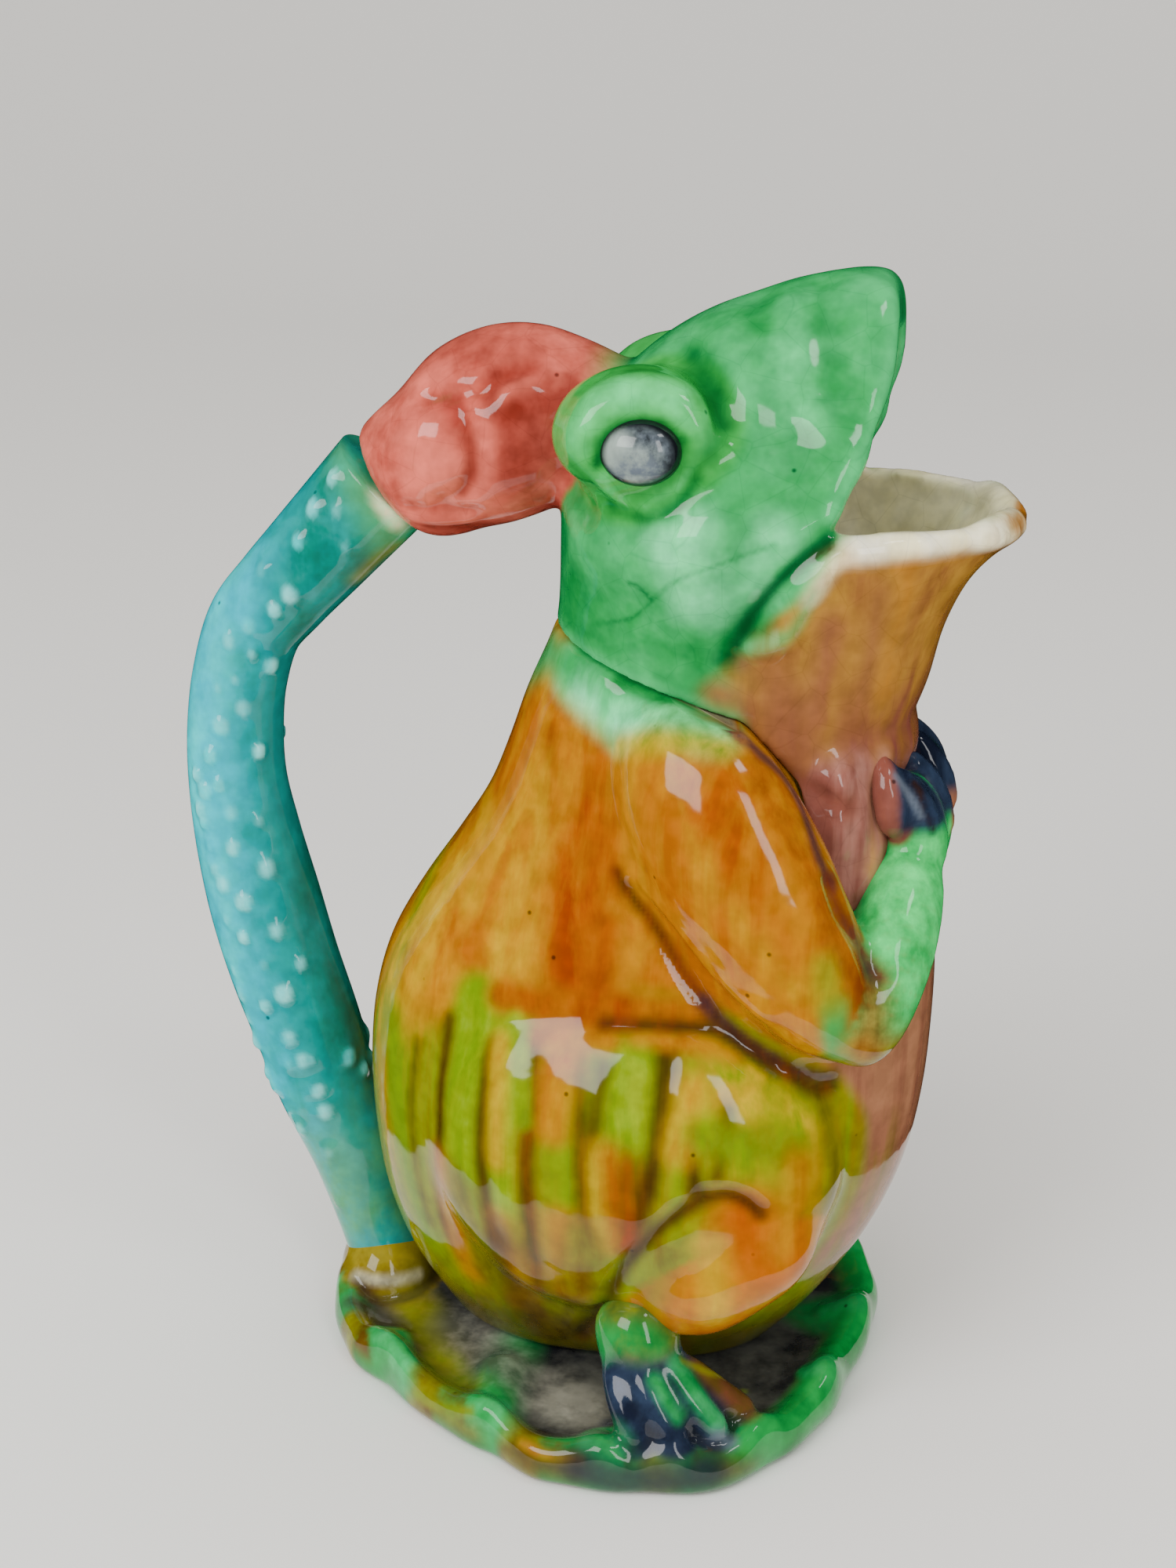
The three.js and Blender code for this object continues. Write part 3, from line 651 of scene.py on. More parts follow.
def torso_limb(rows, thickness, end_power=3.2):
    return limb([[*on_torso(*r[:3]), *(np.array(r[3:]) * thickness)] for r in rows], end_power)


UPPER_ARM = torso_limb([
    (0.1, -0.6, 0.93, 0.3, 0.38), (0.195, -0.77, 0.845, 0.36, 0.49),
    (0.275, -0.84, 0.755, 0.38, 0.48), (0.34, -0.88, 0.68, 0.36, 0.43),
    (0.4, -0.89, 0.605, 0.33, 0.37), (0.455, -0.86, 0.53, 0.28, 0.3),
], 34)
FOREARM = torso_limb([
    (0.441, -0.881, 0.516, 0.46, 0.46), (0.475, -0.821, 0.577, 0.5, 0.5),
    (0.508, -0.667, 0.644, 0.5, 0.48), (0.525, -0.488, 0.702, 0.44, 0.44),
    (0.534, -0.286, 0.747, 0.36, 0.38),
], 18)
PALM = torso_limb([
    (0.521, -0.405, 0.702, 0.46, 0.42), (0.534, -0.333, 0.747, 0.5, 0.44),
    (0.53, -0.298, 0.792, 0.46, 0.38), (0.508, -0.286, 0.837, 0.36, 0.28),
], 15)
THUMB = torso_limb([
    (0.5, -0.476, 0.773, 0.42, 0.42), (0.4915, -0.488, 0.8245, 0.46, 0.46),
    (0.477, -0.417, 0.8727, 0.36, 0.36),
], FINGER)
FIRST_FINGER = torso_limb([
    (0.555, -0.357, 0.757, 0.5, 0.5), (0.538, -0.405, 0.802, 0.54, 0.54),
    (0.495, -0.381, 0.853, 0.4, 0.4),
], FINGER)
SECOND_FINGER = torso_limb([
    (0.572, -0.167, 0.7377, 0.5, 0.5), (0.559, -0.167, 0.7923, 0.5, 0.54),
    (0.512, -0.155, 0.855, 0.4, 0.4),
], FINGER)
HAUNCH = torso_limb([
    (-0.26, -0.68, 0.325, 0.4, 0.42), (-0.08, -0.72, 0.34, 0.5, 0.5),
    (0.12, -0.74, 0.345, 0.5, 0.5), (0.28, -0.74, 0.352, 0.5, 0.46),
    (0.452, -0.7, 0.36, 0.42, 0.34),
], np.array([40, 72]), 2.4)
SHANK = torso_limb([
    (0.4, -0.76, 0.3, 0.28, 0.3), (0.32, -0.84, 0.26, 0.38, 0.38),
    (0.22, -0.88, 0.2, 0.38, 0.38), (0.12, -0.9, 0.14, 0.28, 0.26),
], 34)
ANKLE = torso_limb([
    (0.11, -0.952, 0.168, 0.44, 0.46), (0.127, -1.03, 0.125, 0.48, 0.5),
    (0.15, -1.1, 0.078, 0.46, 0.5),
], 17)
THROAT_FOLD = torso_limb([
    (0.373, 0, 0.93, 0.4, 0.44), (0.377, 0, 0.88, 0.5, 0.5),
    (0.381, 0, 0.84, 0.5, 0.5), (0.386, 0, 0.79, 0.4, 0.44),
], np.array([48, 35]))
LOBE = torso_limb([
    (0.398, -0.464, 0.895, 0.46, 0.36), (0.412, -0.488, 0.837, 0.5, 0.42),
    (0.42, -0.507, 0.779, 0.5, 0.42), (0.4254, -0.524, 0.712, 0.42, 0.38),
], 13)
# each toe from the instep to its tip: x and y shares of the pad's radius, height in toe thicknesses
TOES = [
    [(0.175, -0.78, 2.3), (0.235, -0.885, 1.35), (0.308, -0.945, 0.4)],
    [(0.25, -0.79, 2.6), (0.335, -0.885, 1.5), (0.433, -0.92, 0.4)],
    [(0.333, -0.78, 2.5), (0.45, -0.83, 1.35), (0.562, -0.835, 0.36)],
    [(0.375, -0.74, 2.2), (0.52, -0.73, 1.1), (0.64, -0.7, 0.3)],
]
# how far the web between the toes stands over the torso's base, and how far below it starts
WEB, WEB_BELOW = 2.4, 1
EYELID_CENTRE, EYELID = on_head(0.224, -0.63, 0.5686), (33, 28, 25.4)
EYEBALL_CENTRE, EYEBALL = on_head(0.245, -0.935, 0.555), (14.8, 9, 12)

# The stem: how far it bows out behind, its thickness, and its half thickness at the bud's ring
STEM_REACH, STEM_THICK, STEM_TOP_HALF = 79.4, 24, 11.6
STEM_FOOT_Z = on_torso(0, 0, 0.085)[2]
# the stem's end in the leaf, from its first station: along X and up, and its half thickness there
STEM_END = (3, -9, 9)
BUD_RING = on_head(-0.389, 0, 0.361)
BUD = np.array([54, 37, 38])
# each station: how far out, how far up, and its half thickness, as shares of the stem's
STEM = [
    (0.661, 0, 0.36), (0.718, 0.1, 0.41), (0.792, 0.19, 0.45), (0.835, 0.265, 0.485),
    (0.899, 0.362, 0.5), (0.942, 0.444, 0.5), (0.98, 0.534, 0.467), (1, 0.611, 0.43),
    (0.997, 0.68, 0.417), (0.976, 0.745, 0.408), (0.926, 0.812, 0.412), (0.846, 0.857, 0.425),
    (0.748, 0.906, 0.445),
]
# each section of the bud from its ring on: along and up, half height, half width, and its lean
BUD_SECTIONS = [
    (0.02, 0, 0.3, 0.3, 0.35), (0.075, 0.02, 0.35, 0.37, 0.32), (0.17, 0.09, 0.4, 0.44, 0.26),
    (0.29, 0.22, 0.47, 0.49, 0.17), (0.44, 0.3, 0.5, 0.5, 0.09), (0.59, 0.34, 0.47, 0.47, 0.04),
    (0.74, 0.35, 0.39, 0.41, 0), (0.89, 0.36, 0.28, 0.32, -0.05),
]


def bud_form():
    back, front, half = [], [], []
    for along, up, high, wide, lean in BUD_SECTIONS:
        middle = BUD_RING + np.array([along, 0, up]) * BUD
        turn = lean * math.pi / 2
        reach = np.array([-math.sin(turn), 0, math.cos(turn)]) * high * BUD[2]
        back.append(middle + reach)
        front.append(middle - reach)
        half.append(wide * BUD[1])
    surface = section_surface(np.array(back), np.array(front), np.array(half), 2)
    return shell(surface, 48, 40, capped=True)


def both(form):
    return [form, mirrored(form)]


def near(clay, place, radius, weights=(1, 1, 1)):
    """1 at a place of the right side, falling smoothly round it."""
    gap = np.linalg.norm((clay.folded() - place) * weights, axis=1)
    return np.exp(-((gap / radius) ** 2))


# The head, throat and bud

# the face size of the fused skin
HEAD_VOXEL = 0.78
# how far a form is cut back from the vessel's skin, so that it starts inside the wall
SKIN_INSET = -2.0
# where the bud joins the skull, the throat over the hands, and the end of the upper lip
BUD_ROOT, THROAT_FOOT, LIP_END = (4, -6, 198), (50, -22, 135), on_head(0.69, 0, 0.97)
DOME_FOOT = [(735, 640), (765, 668), (810, 682), (850, 672), (885, 640), (905, 600)]
# where the green of the cheek meets the amber of the throat
JAW_LINE = [
    (0.45, -0.9), (0.46, -0.4), (0.45, -0.16), (0.43, -0.04),
    (0.47, 0.08), (0.56, 0.2), (0.625, 0.31), (0.69, 0.46),
]
HEAD_RELIEF = [
    # flutes and knobs of the snout
    (1.0, 6.0, [(948, 430), (960, 490)]), (1.2, 6.0, [(1012, 395), (1024, 460)]),
    (0.9, 6.0, [(1105, 400), (1105, 480)]),
    (-1.6, 5.0, [(966, 380), (980, 440), (996, 500), (1010, 560)]),
    (-1.6, 5.0, [(1045, 365), (1052, 440), (1060, 500)]),
    (1.3, 4.5, [(1036, 534), (1060, 558), (1086, 576)]), (1.0, 4.5, [(1065, 613), (1058, 640)]),
    # the eye: a groove before the dome, the brow, the lids and the socket
    (-2.2, 3.0, [(879, 447), (912, 497), (920, 536)]),
    (-1.5, 3.0, [(721, 608), (735, 632), (750, 650)]),
    (2.6, 4.4, [
        (742, 562), (756, 532), (782, 508), (822, 498), (860, 506), (884, 532), (893, 556),
    ]),
    (-1.6, 1.7, [(764, 590), (772, 562), (795, 545), (822, 540), (850, 548), (868, 568)]),
    (1.1, 1.7, [(762, 600), (785, 630), (817, 643), (856, 628), (880, 596)]),
    # cheek and jaw
    (-1.3, 6.0, [(948, 668), (935, 700), (926, 735)]),
    (1.3, 8.0, [(880, 690), (885, 730), (885, 770)]), (1.2, 7.0, [(985, 690), (972, 730)]),
    (-2.0, 2.4, [
        (1058, 688), (1028, 710), (995, 739), (970, 770), (952, 797), (940, 825), (940, 848),
    ]),
    # the spout's rolled edge and its thick tip
    (1.7, 3.2, [(1262, 682), (1284, 668), (1300, 656)]),
    (1.3, 2.4, [(1075, 706), (1110, 708), (1150, 704), (1200, 696), (1245, 684), (1285, 664)]),
    (1.3, 2.2, [(950, 826), (978, 828), (1005, 808), (1022, 764), (1050, 722)]),
    (-0.9, 3.5, [(1030, 900), (1045, 830), (1060, 780)]),
    # the fold where the throat meets the chest, and the ridge beyond the lobe
    (-1.2, 2.2, [(1000, 985), (1030, 1003), (1056, 1022), (1080, 1030)]),
    (1.0, 2.4, [(1012, 968), (1036, 985), (1058, 999), (1080, 1010)]),
    (1.3, 2.4, [(1129, 966), (1118, 1013), (1119, 1066), (1109, 1109), (1093, 1133)]),
    (-1.0, 2.0, [(1098, 1000), (1092, 1060), (1088, 1100)]),
    # the bud's petal, its dimples and its ledge
    (1.6, 6.5, [(530, 560), (535, 590)]),
    (-1.5, 2.2, [(545, 508), (575, 515), (592, 545), (602, 590), (590, 628), (560, 640)]),
    (-1.0, 1.8, [(545, 508), (560, 500), (605, 502)]),
    (-1.6, 2.2, [(621, 498), (640, 480), (675, 468)]), (1.0, 2.4, [(640, 500), (672, 486)]),
    (-1.2, 1.6, [(525, 650), (560, 652), (602, 652)]), (0.9, 1.6, [(530, 660), (600, 661)]),
]


def head_piece():
    core = vessel(SKIN_INSET)
    skull = cut(vessel(), past_seam(above=False))
    for cutter in (cavity(), mouth_opening()):
        cut(skull, cutter)
    eyelid = cut(shell(ball(EYELID_CENTRE, EYELID), 40, 28), core)
    fold = cut(shell(THROAT_FOLD, 48, 32), core)
    lobe = cut(shell(LOBE, 28, 28), core)
    bud = cut(bud_form(), core)
    piece = fused([skull, fold, bud, *both(eyelid), *both(lobe)], HEAD_VOXEL)
    clay = Clay(piece)
    clay.even(6)
    # the eye's dome runs out into the cheek below
    model_strokes(clay, [
        (-2.0, 5.0, [(748, 640), (780, 655), (820, 660), (860, 650), (890, 625)]),
        (1.8, 5.5, [(740, 680), (785, 702), (835, 705), (885, 685), (920, 645)]),
    ])
    soft = np.maximum.reduce([
        near(clay, EYELID_CENTRE, 20), near(clay, BUD_ROOT, 18), 0.7 * near(clay, THROAT_FOOT, 16),
    ])
    clay.relax(14, 0.5 * soft)
    soft = np.maximum.reduce([
        along(clay, DOME_FOOT, 8), near(clay, LIP_END, 9), near(clay, SPOUT_TIP, 6),
    ])
    clay.relax(80, 0.5 * np.clip(1.5 * soft, 0, 1))
    clay.relax(3)
    model_strokes(clay, HEAD_RELIEF)
    clay.relax(6)
    clay.store()
    return clay, {"bud": bud, "lobe": lobe, "eyelid": eyelid}


# the bands of height, in millimetres, over which one glaze of the head gives way to the next
THROAT_TOP, THROAT_FOLDS = (187, 191), (143, 148)
THROAT_LOW, THROAT_BASE, LOBE_TOP, UNDER_LIP = (143, 165), (134, 144), (140, 147), (190, 194)
# the same along X: past the jaw's line, at the bud's front, and behind the upper lip
JAW_EDGE, BUD_FRONT, UNDER_LIP_DEPTH = (-2.0, 2.5), (-4, 6), (10, 18)
# the cream lip rises towards the spout's tip, which is amber
LIP_BAND, LIP_SLOPE, LIP_BACK, LIP_TIP = (181, 184), 0.04, 55, (72, 79)


def paint_head(clay, forms):
    paint = Paint(clay, "green", "light green")
    x, _, z = paint.points.T
    hollow, deep = clay.hollows(2), clay.hollows(8)
    # throat and spout in front of the jaw line
    jaw = catmull(np.array([head_place(*p) for p in JAW_LINE]), np.linspace(0, 1, 40))
    before_jaw = x - np.interp(z, jaw[:, 1], jaw[:, 0])
    throat = steps(before_jaw, *JAW_EDGE) * (1 - steps(z, *THROAT_TOP))
    throat = np.maximum(throat, 1 - steps(z, *THROAT_FOLDS))
    paint.lay(throat, "throat", "throat brown")
    paint.lay(throat * (1 - steps(z, *THROAT_LOW)), "throat brown", "throat purple")
    paint.lay(throat * (1 - steps(z, *THROAT_BASE)), "throat purple", "lobe light")
    lobe = nearness(clay, forms["lobe"], 3)
    paint.lay(lobe * (1 - steps(z, *LOBE_TOP)), "lobe", "lobe light")
    lip = throat * steps(z - LIP_SLOPE * (x - LIP_BACK), *LIP_BAND)
    paint.lay(lip, "cream", "cream light")
    paint.lay(lip * steps(x, *LIP_TIP), "amber", "cream")
    lid = nearness(clay, forms["eyelid"], 5)
    paint.lay(lid * 0.8, "eye green", "eye green light")
    bud = nearness(clay, forms["bud"], 4) * (1 - steps(x, *BUD_FRONT))
    paint.lay(bud, "bud", "bud light")
    paint.strokes([
        (0.85, 6, 6, "deep green", "green", [(920, 790), (905, 840), (885, 870)]),
        (0.8, 3.4, 3, "dark green", "deep green", [(912, 785), (945, 797), (966, 800)]),
        (0.8, 3, 3, "dark green", "deep green", [(929, 841), (942, 852)]),
        # painted reflection: pale mint patches on the cheek where the window light shows in the
        # glaze
        (0.75, 6, 6, "mint", "pale mint", [(868, 690), (888, 720), (898, 750)]),
        (0.6, 4, 5, "mint", "pale mint", [(985, 690), (968, 735)]),
        (0.7, 7, 7, "deep green", "green", [(730, 700), (740, 750), (752, 800)]),
        (0.6, 5, 5, "deep green", "green", [(948, 640), (940, 690), (928, 740)]),
        (0.35, 3, 4, "deep green", "green", [(972, 400), (985, 450), (995, 500), (1000, 560)]),
        (0.35, 3, 4, "deep green", "green", [(1045, 400), (1048, 470), (1055, 540)]),
        (0.7, 3, 4, "eye green light", "mint", [
            (742, 548), (762, 516), (800, 500), (850, 500), (880, 520),
        ]),
        # painted shade: a dark line under the lid, where the groove above the eyeball would lie in
        # shadow
        (0.9, 0.8, 0.9, "dark green", "dark green", [
            (760, 592), (770, 560), (793, 543), (820, 537), (850, 543), (872, 562),
        ]),
        (0.7, 0.7, 0.9, "eye green light", "mint", [
            (768, 610), (788, 636), (820, 648), (853, 637), (878, 605),
        ]),
        (0.8, 0.8, 1.0, "dark green", "deep green", [
            (758, 618), (782, 648), (820, 662), (860, 650), (888, 612),
        ]),
        (0.7, 0.35, 0.5, "dark green", "dark green", [(802, 743), (813, 747), (831, 766)]),
        (0.6, 0.3, 0.5, "dark green", "deep green", [
            (721, 799), (784, 793), (808, 787), (862, 741), (929, 716), (987, 695),
        ]),
        (0.5, 4, 4, "light green", "mint", [(1010, 440), (1020, 520)]),
        (0.6, 2.5, 2.5, "deep green", "deep green", [
            (881, 450), (914, 500), (918, 545), (904, 575),
        ]),
        (0.6, 2, 2.5, "deep green", "eye green", [
            (742, 605), (768, 642), (812, 656), (860, 640), (884, 604),
        ]),
        (0.6, 2.2, 2, "deep green", "eye green", [
            (768, 575), (785, 553), (817, 541), (848, 547), (870, 567),
        ]),
        (0.8, 1.6, 1.8, "cream", "throat", [(1075, 708), (1055, 733), (1036, 765)]),
        (0.6, 1.4, 1.8, "light green", "cream", [(1036, 760), (1018, 798), (996, 820)]),
        (0.6, 1.6, 1.8, "light green", "mint", [(996, 820), (970, 830), (950, 828)]),
        (0.8, 3, 3, "throat", "throat brown", [(1010, 835), (980, 850), (950, 868), (925, 885)]),
        (0.7, 3.5, 3, "throat brown", "throat purple", [(915, 893), (940, 910), (965, 935)]),
        (0.7, 2.5, 3, "throat brown", "throat", [(1075, 790), (1060, 870), (1050, 950)]),
        (0.6, 2.2, 3, "throat purple", "throat brown", [(1120, 760), (1110, 840), (1085, 930)]),
        (0.6, 2.0, 3, "amber", "throat", [(1160, 730), (1150, 800), (1130, 880)]),
        (0.6, 1.6, 2.0, "amber", "throat", [(1090, 722), (1160, 718), (1230, 706)]),
        (0.7, 4, 4, "throat purple", "throat brown", [(985, 850), (1000, 900), (1012, 950)]),
        (0.7, 2.0, 3, "throat purple", "throat brown", [(1060, 800), (1052, 860), (1048, 920)]),
        (0.8, 1.6, 1.6, "amber", "throat", [(1290, 672), (1306, 655)]),
        (0.9, 1.1, 1.2, "dark green", "dark green", [
            (1058, 690), (1028, 711), (995, 740), (970, 771), (952, 797), (941, 822),
        ]),
        (0.8, 0.9, 1.0, "dark brown", "dark brown", [(1060, 700), (1040, 712)]),
        (0.7, 2.4, 2.4, "throat purple", "red brown", [
            (1000, 985), (1030, 1003), (1056, 1022), (1080, 1030),
        ]),
        # painted highlight: a pale line along the ridge beyond the lobe
        (0.6, 2.0, 2.0, "lobe light", "throat", [
            (1129, 966), (1118, 1013), (1119, 1066), (1109, 1109),
        ]),
        (0.7, 2, 2.5, "bud dark", "bud deep", [(640, 500), (650, 560), (648, 610)]),
        (0.8, 6, 5, "bud deep", "bud", [(660, 500), (668, 560), (660, 620)]),
        (0.6, 5, 5, "bud deep", "bud", [(560, 450), (620, 440), (680, 450)]),
        (0.6, 5, 4, "bud light", "bud light", [(530, 560), (540, 600)]),
        (0.6, 3, 3, "bud deep", "bud dark", [(560, 668), (640, 668)]),
        (0.7, 1.2, 1.5, "bud dark", "bud deep", [(592, 545), (602, 590), (590, 628)]),
    ])
    # inside the jar the clay is cream-grey, and green under the upper lip
    inner = clay.blur((off_cavity(clay) < HEAD_INSIDE) * 1.0, 2)[:, 0]
    lip_x, lip_z = np.array([head_place(*p) for p in UPPER_LIP]).T
    behind = np.interp(z, lip_z, lip_x) - x
    under_lip = steps(z, *UNDER_LIP) * (1 - steps(behind, *UNDER_LIP_DEPTH))
    inner *= 1 - under_lip
    paint.lay(inner, "inside", "inside light")
    # darker in the creases from pooled glaze and from painted shade; paler on the edges as painted
    # highlight
    body = 1 - np.clip(inner, 0, 1)
    green = body * (1 - throat) * (1 - bud)
    calm = 1 - 0.8 * along(clay, DOME_FOOT, 8)
    paint.lay(np.clip(hollow, 0, 1) * 0.6 * green * calm, "dark green")
    paint.lay(np.clip(deep, 0, 1) * 0.5 * body * throat * (1 - lip), "lobe")
    paint.lay(np.clip(hollow, 0, 1) * 0.5 * bud, "bud dark")
    paint.lay(np.clip(-deep, 0, 1) * 0.45 * green * (1 - 0.7 * lid), "mint")
    paint.lay(np.clip(-hollow, 0, 1) * 0.4 * body * bud, "bud light")
    paint.flow = 0.15 + 0.75 * throat * (1 - inner)
    paint.store()


# The body, arms and legs

BODY_VOXEL = 0.95
# the smooth place on the haunch where the main light shows
HAUNCH_SHINE = [(690, 1335), (720, 1350), (755, 1358), (790, 1352)]
ARM_CREASE = [
    (922, 922), (946, 938), (972, 964), (999, 990), (1019, 1023), (1032, 1056), (1045, 1096),
    (1058, 1125),
]
ELBOW_CREASE = [(1058, 1125), (1072, 1165), (1092, 1198), (1111, 1235), (1121, 1245)]
BACK_CREASE = [
    (803, 1139), (830, 1172), (853, 1208), (873, 1242), (899, 1278), (926, 1308), (959, 1334),
    (992, 1354),
]
CALF_CREASE = [
    (744, 1705), (770, 1670), (787, 1635), (809, 1601), (843, 1566), (878, 1540), (900, 1528),
    (928, 1524), (952, 1532), (970, 1548),
]
HAUNCH_CREASE = [
    (770, 1306), (830, 1308), (895, 1312), (930, 1321), (960, 1343), (1004, 1369), (1039, 1388),
    (1062, 1386),
]
# where a limb runs into the body without a groove
SOFT_CREASES = [
    [(765, 950), (768, 1030), (800, 1110), (860, 1195), (930, 1280), (1000, 1335), (1060, 1368)],
    [(782, 960), (804, 1035), (850, 1141), (913, 1215), (960, 1270), (1006, 1315), (1060, 1350)],
    [(579, 1532), (620, 1590), (674, 1634), (755, 1664)],
]
BODY_RELIEF = [
    (-1.2, 2.2, ELBOW_CREASE), (-1.6, 2.2, BACK_CREASE),
    (1.0, 2.6, [(793, 1096), (833, 1139), (873, 1188), (909, 1235), (946, 1271), (976, 1295)]),
    (-1.5, 2.0, HAUNCH_CREASE), (-1.3, 2.0, CALF_CREASE),
    (-0.9, 3.0, [(848, 1353), (839, 1462), (822, 1527)]),
    (-0.8, 3.0, [(683, 1362), (670, 1484), (683, 1614)]),
    (-0.6, 2.6, [(613, 1380), (613, 1462), (631, 1570)]), (0.7, 5.0, [(760, 1400), (752, 1480)]),
    (-0.8, 2.4, [(882, 1465), (887, 1518)]),
]


def body_piece():
    core = cut(vessel(SKIN_INSET), past_seam(above=False))
    trunk = cut(vessel(), past_seam(above=True))
    forms = {
        "upper_arm": shell(UPPER_ARM, 40, 40),
        "forearm": shell(FOREARM, 32, 32),
        "palm": shell(PALM, 28, 24),
        "thumb": shell(THUMB, 16, 20),
        "first_finger": shell(FIRST_FINGER, 16, 20),
        "second_finger": shell(SECOND_FINGER, 16, 20),
    }
    for form in forms.values():
        cut(form, core)
    forms["haunch"] = shell(HAUNCH, 56, 48)
    forms["shank"] = shell(SHANK, 36, 32)
    piece = fused([trunk, *[f for form in forms.values() for f in both(form)]], BODY_VOXEL)
    clay = Clay(piece)
    clay.even(6)
    soft = np.maximum.reduce([
        near(clay, on_torso(0.1, -0.75, 0.86), 20),
        near(clay, on_torso(-0.2, -0.8, 0.33), 18, (1, 1, 0.5)),
        0.7 * near(clay, on_torso(0.36, -0.92, 0.27), 18),
        0.5 * near(clay, on_torso(0.13, -0.98, 0.15), 12),
    ])
    model_strokes(clay, [(1.0, 3.5, SOFT_CREASES[-1])])
    for crease in (BACK_CREASE, HAUNCH_CREASE, CALF_CREASE, *SOFT_CREASES):
        soft = np.maximum(soft, along(clay, crease, 7))
    clay.relax(60, 0.5 * np.clip(soft * 1.4, 0, 1))
    clay.relax(3)
    model_strokes(clay, BODY_RELIEF)
    clay.relax(2)
    clay.relax(16, 0.5 * along(clay, HAUNCH_SHINE, 8))
    clay.store()
    cut(piece, past_seam(above=True, straight=True))
    cut(piece, cavity())
    clay.reread()
    return clay, forms


# the bands of height over which the body's glazes change, and where along X the belly starts
GREEN_BAND, OLIVE_BAND, FOOT_BAND = (74, 94), (32, 54), (14, 26)
WRIST_GREEN, ELBOW_BROWN, KNUCKLES = (88, 98), (90, 100), (126, 130)
BELLY_FRONT = (44, 54)


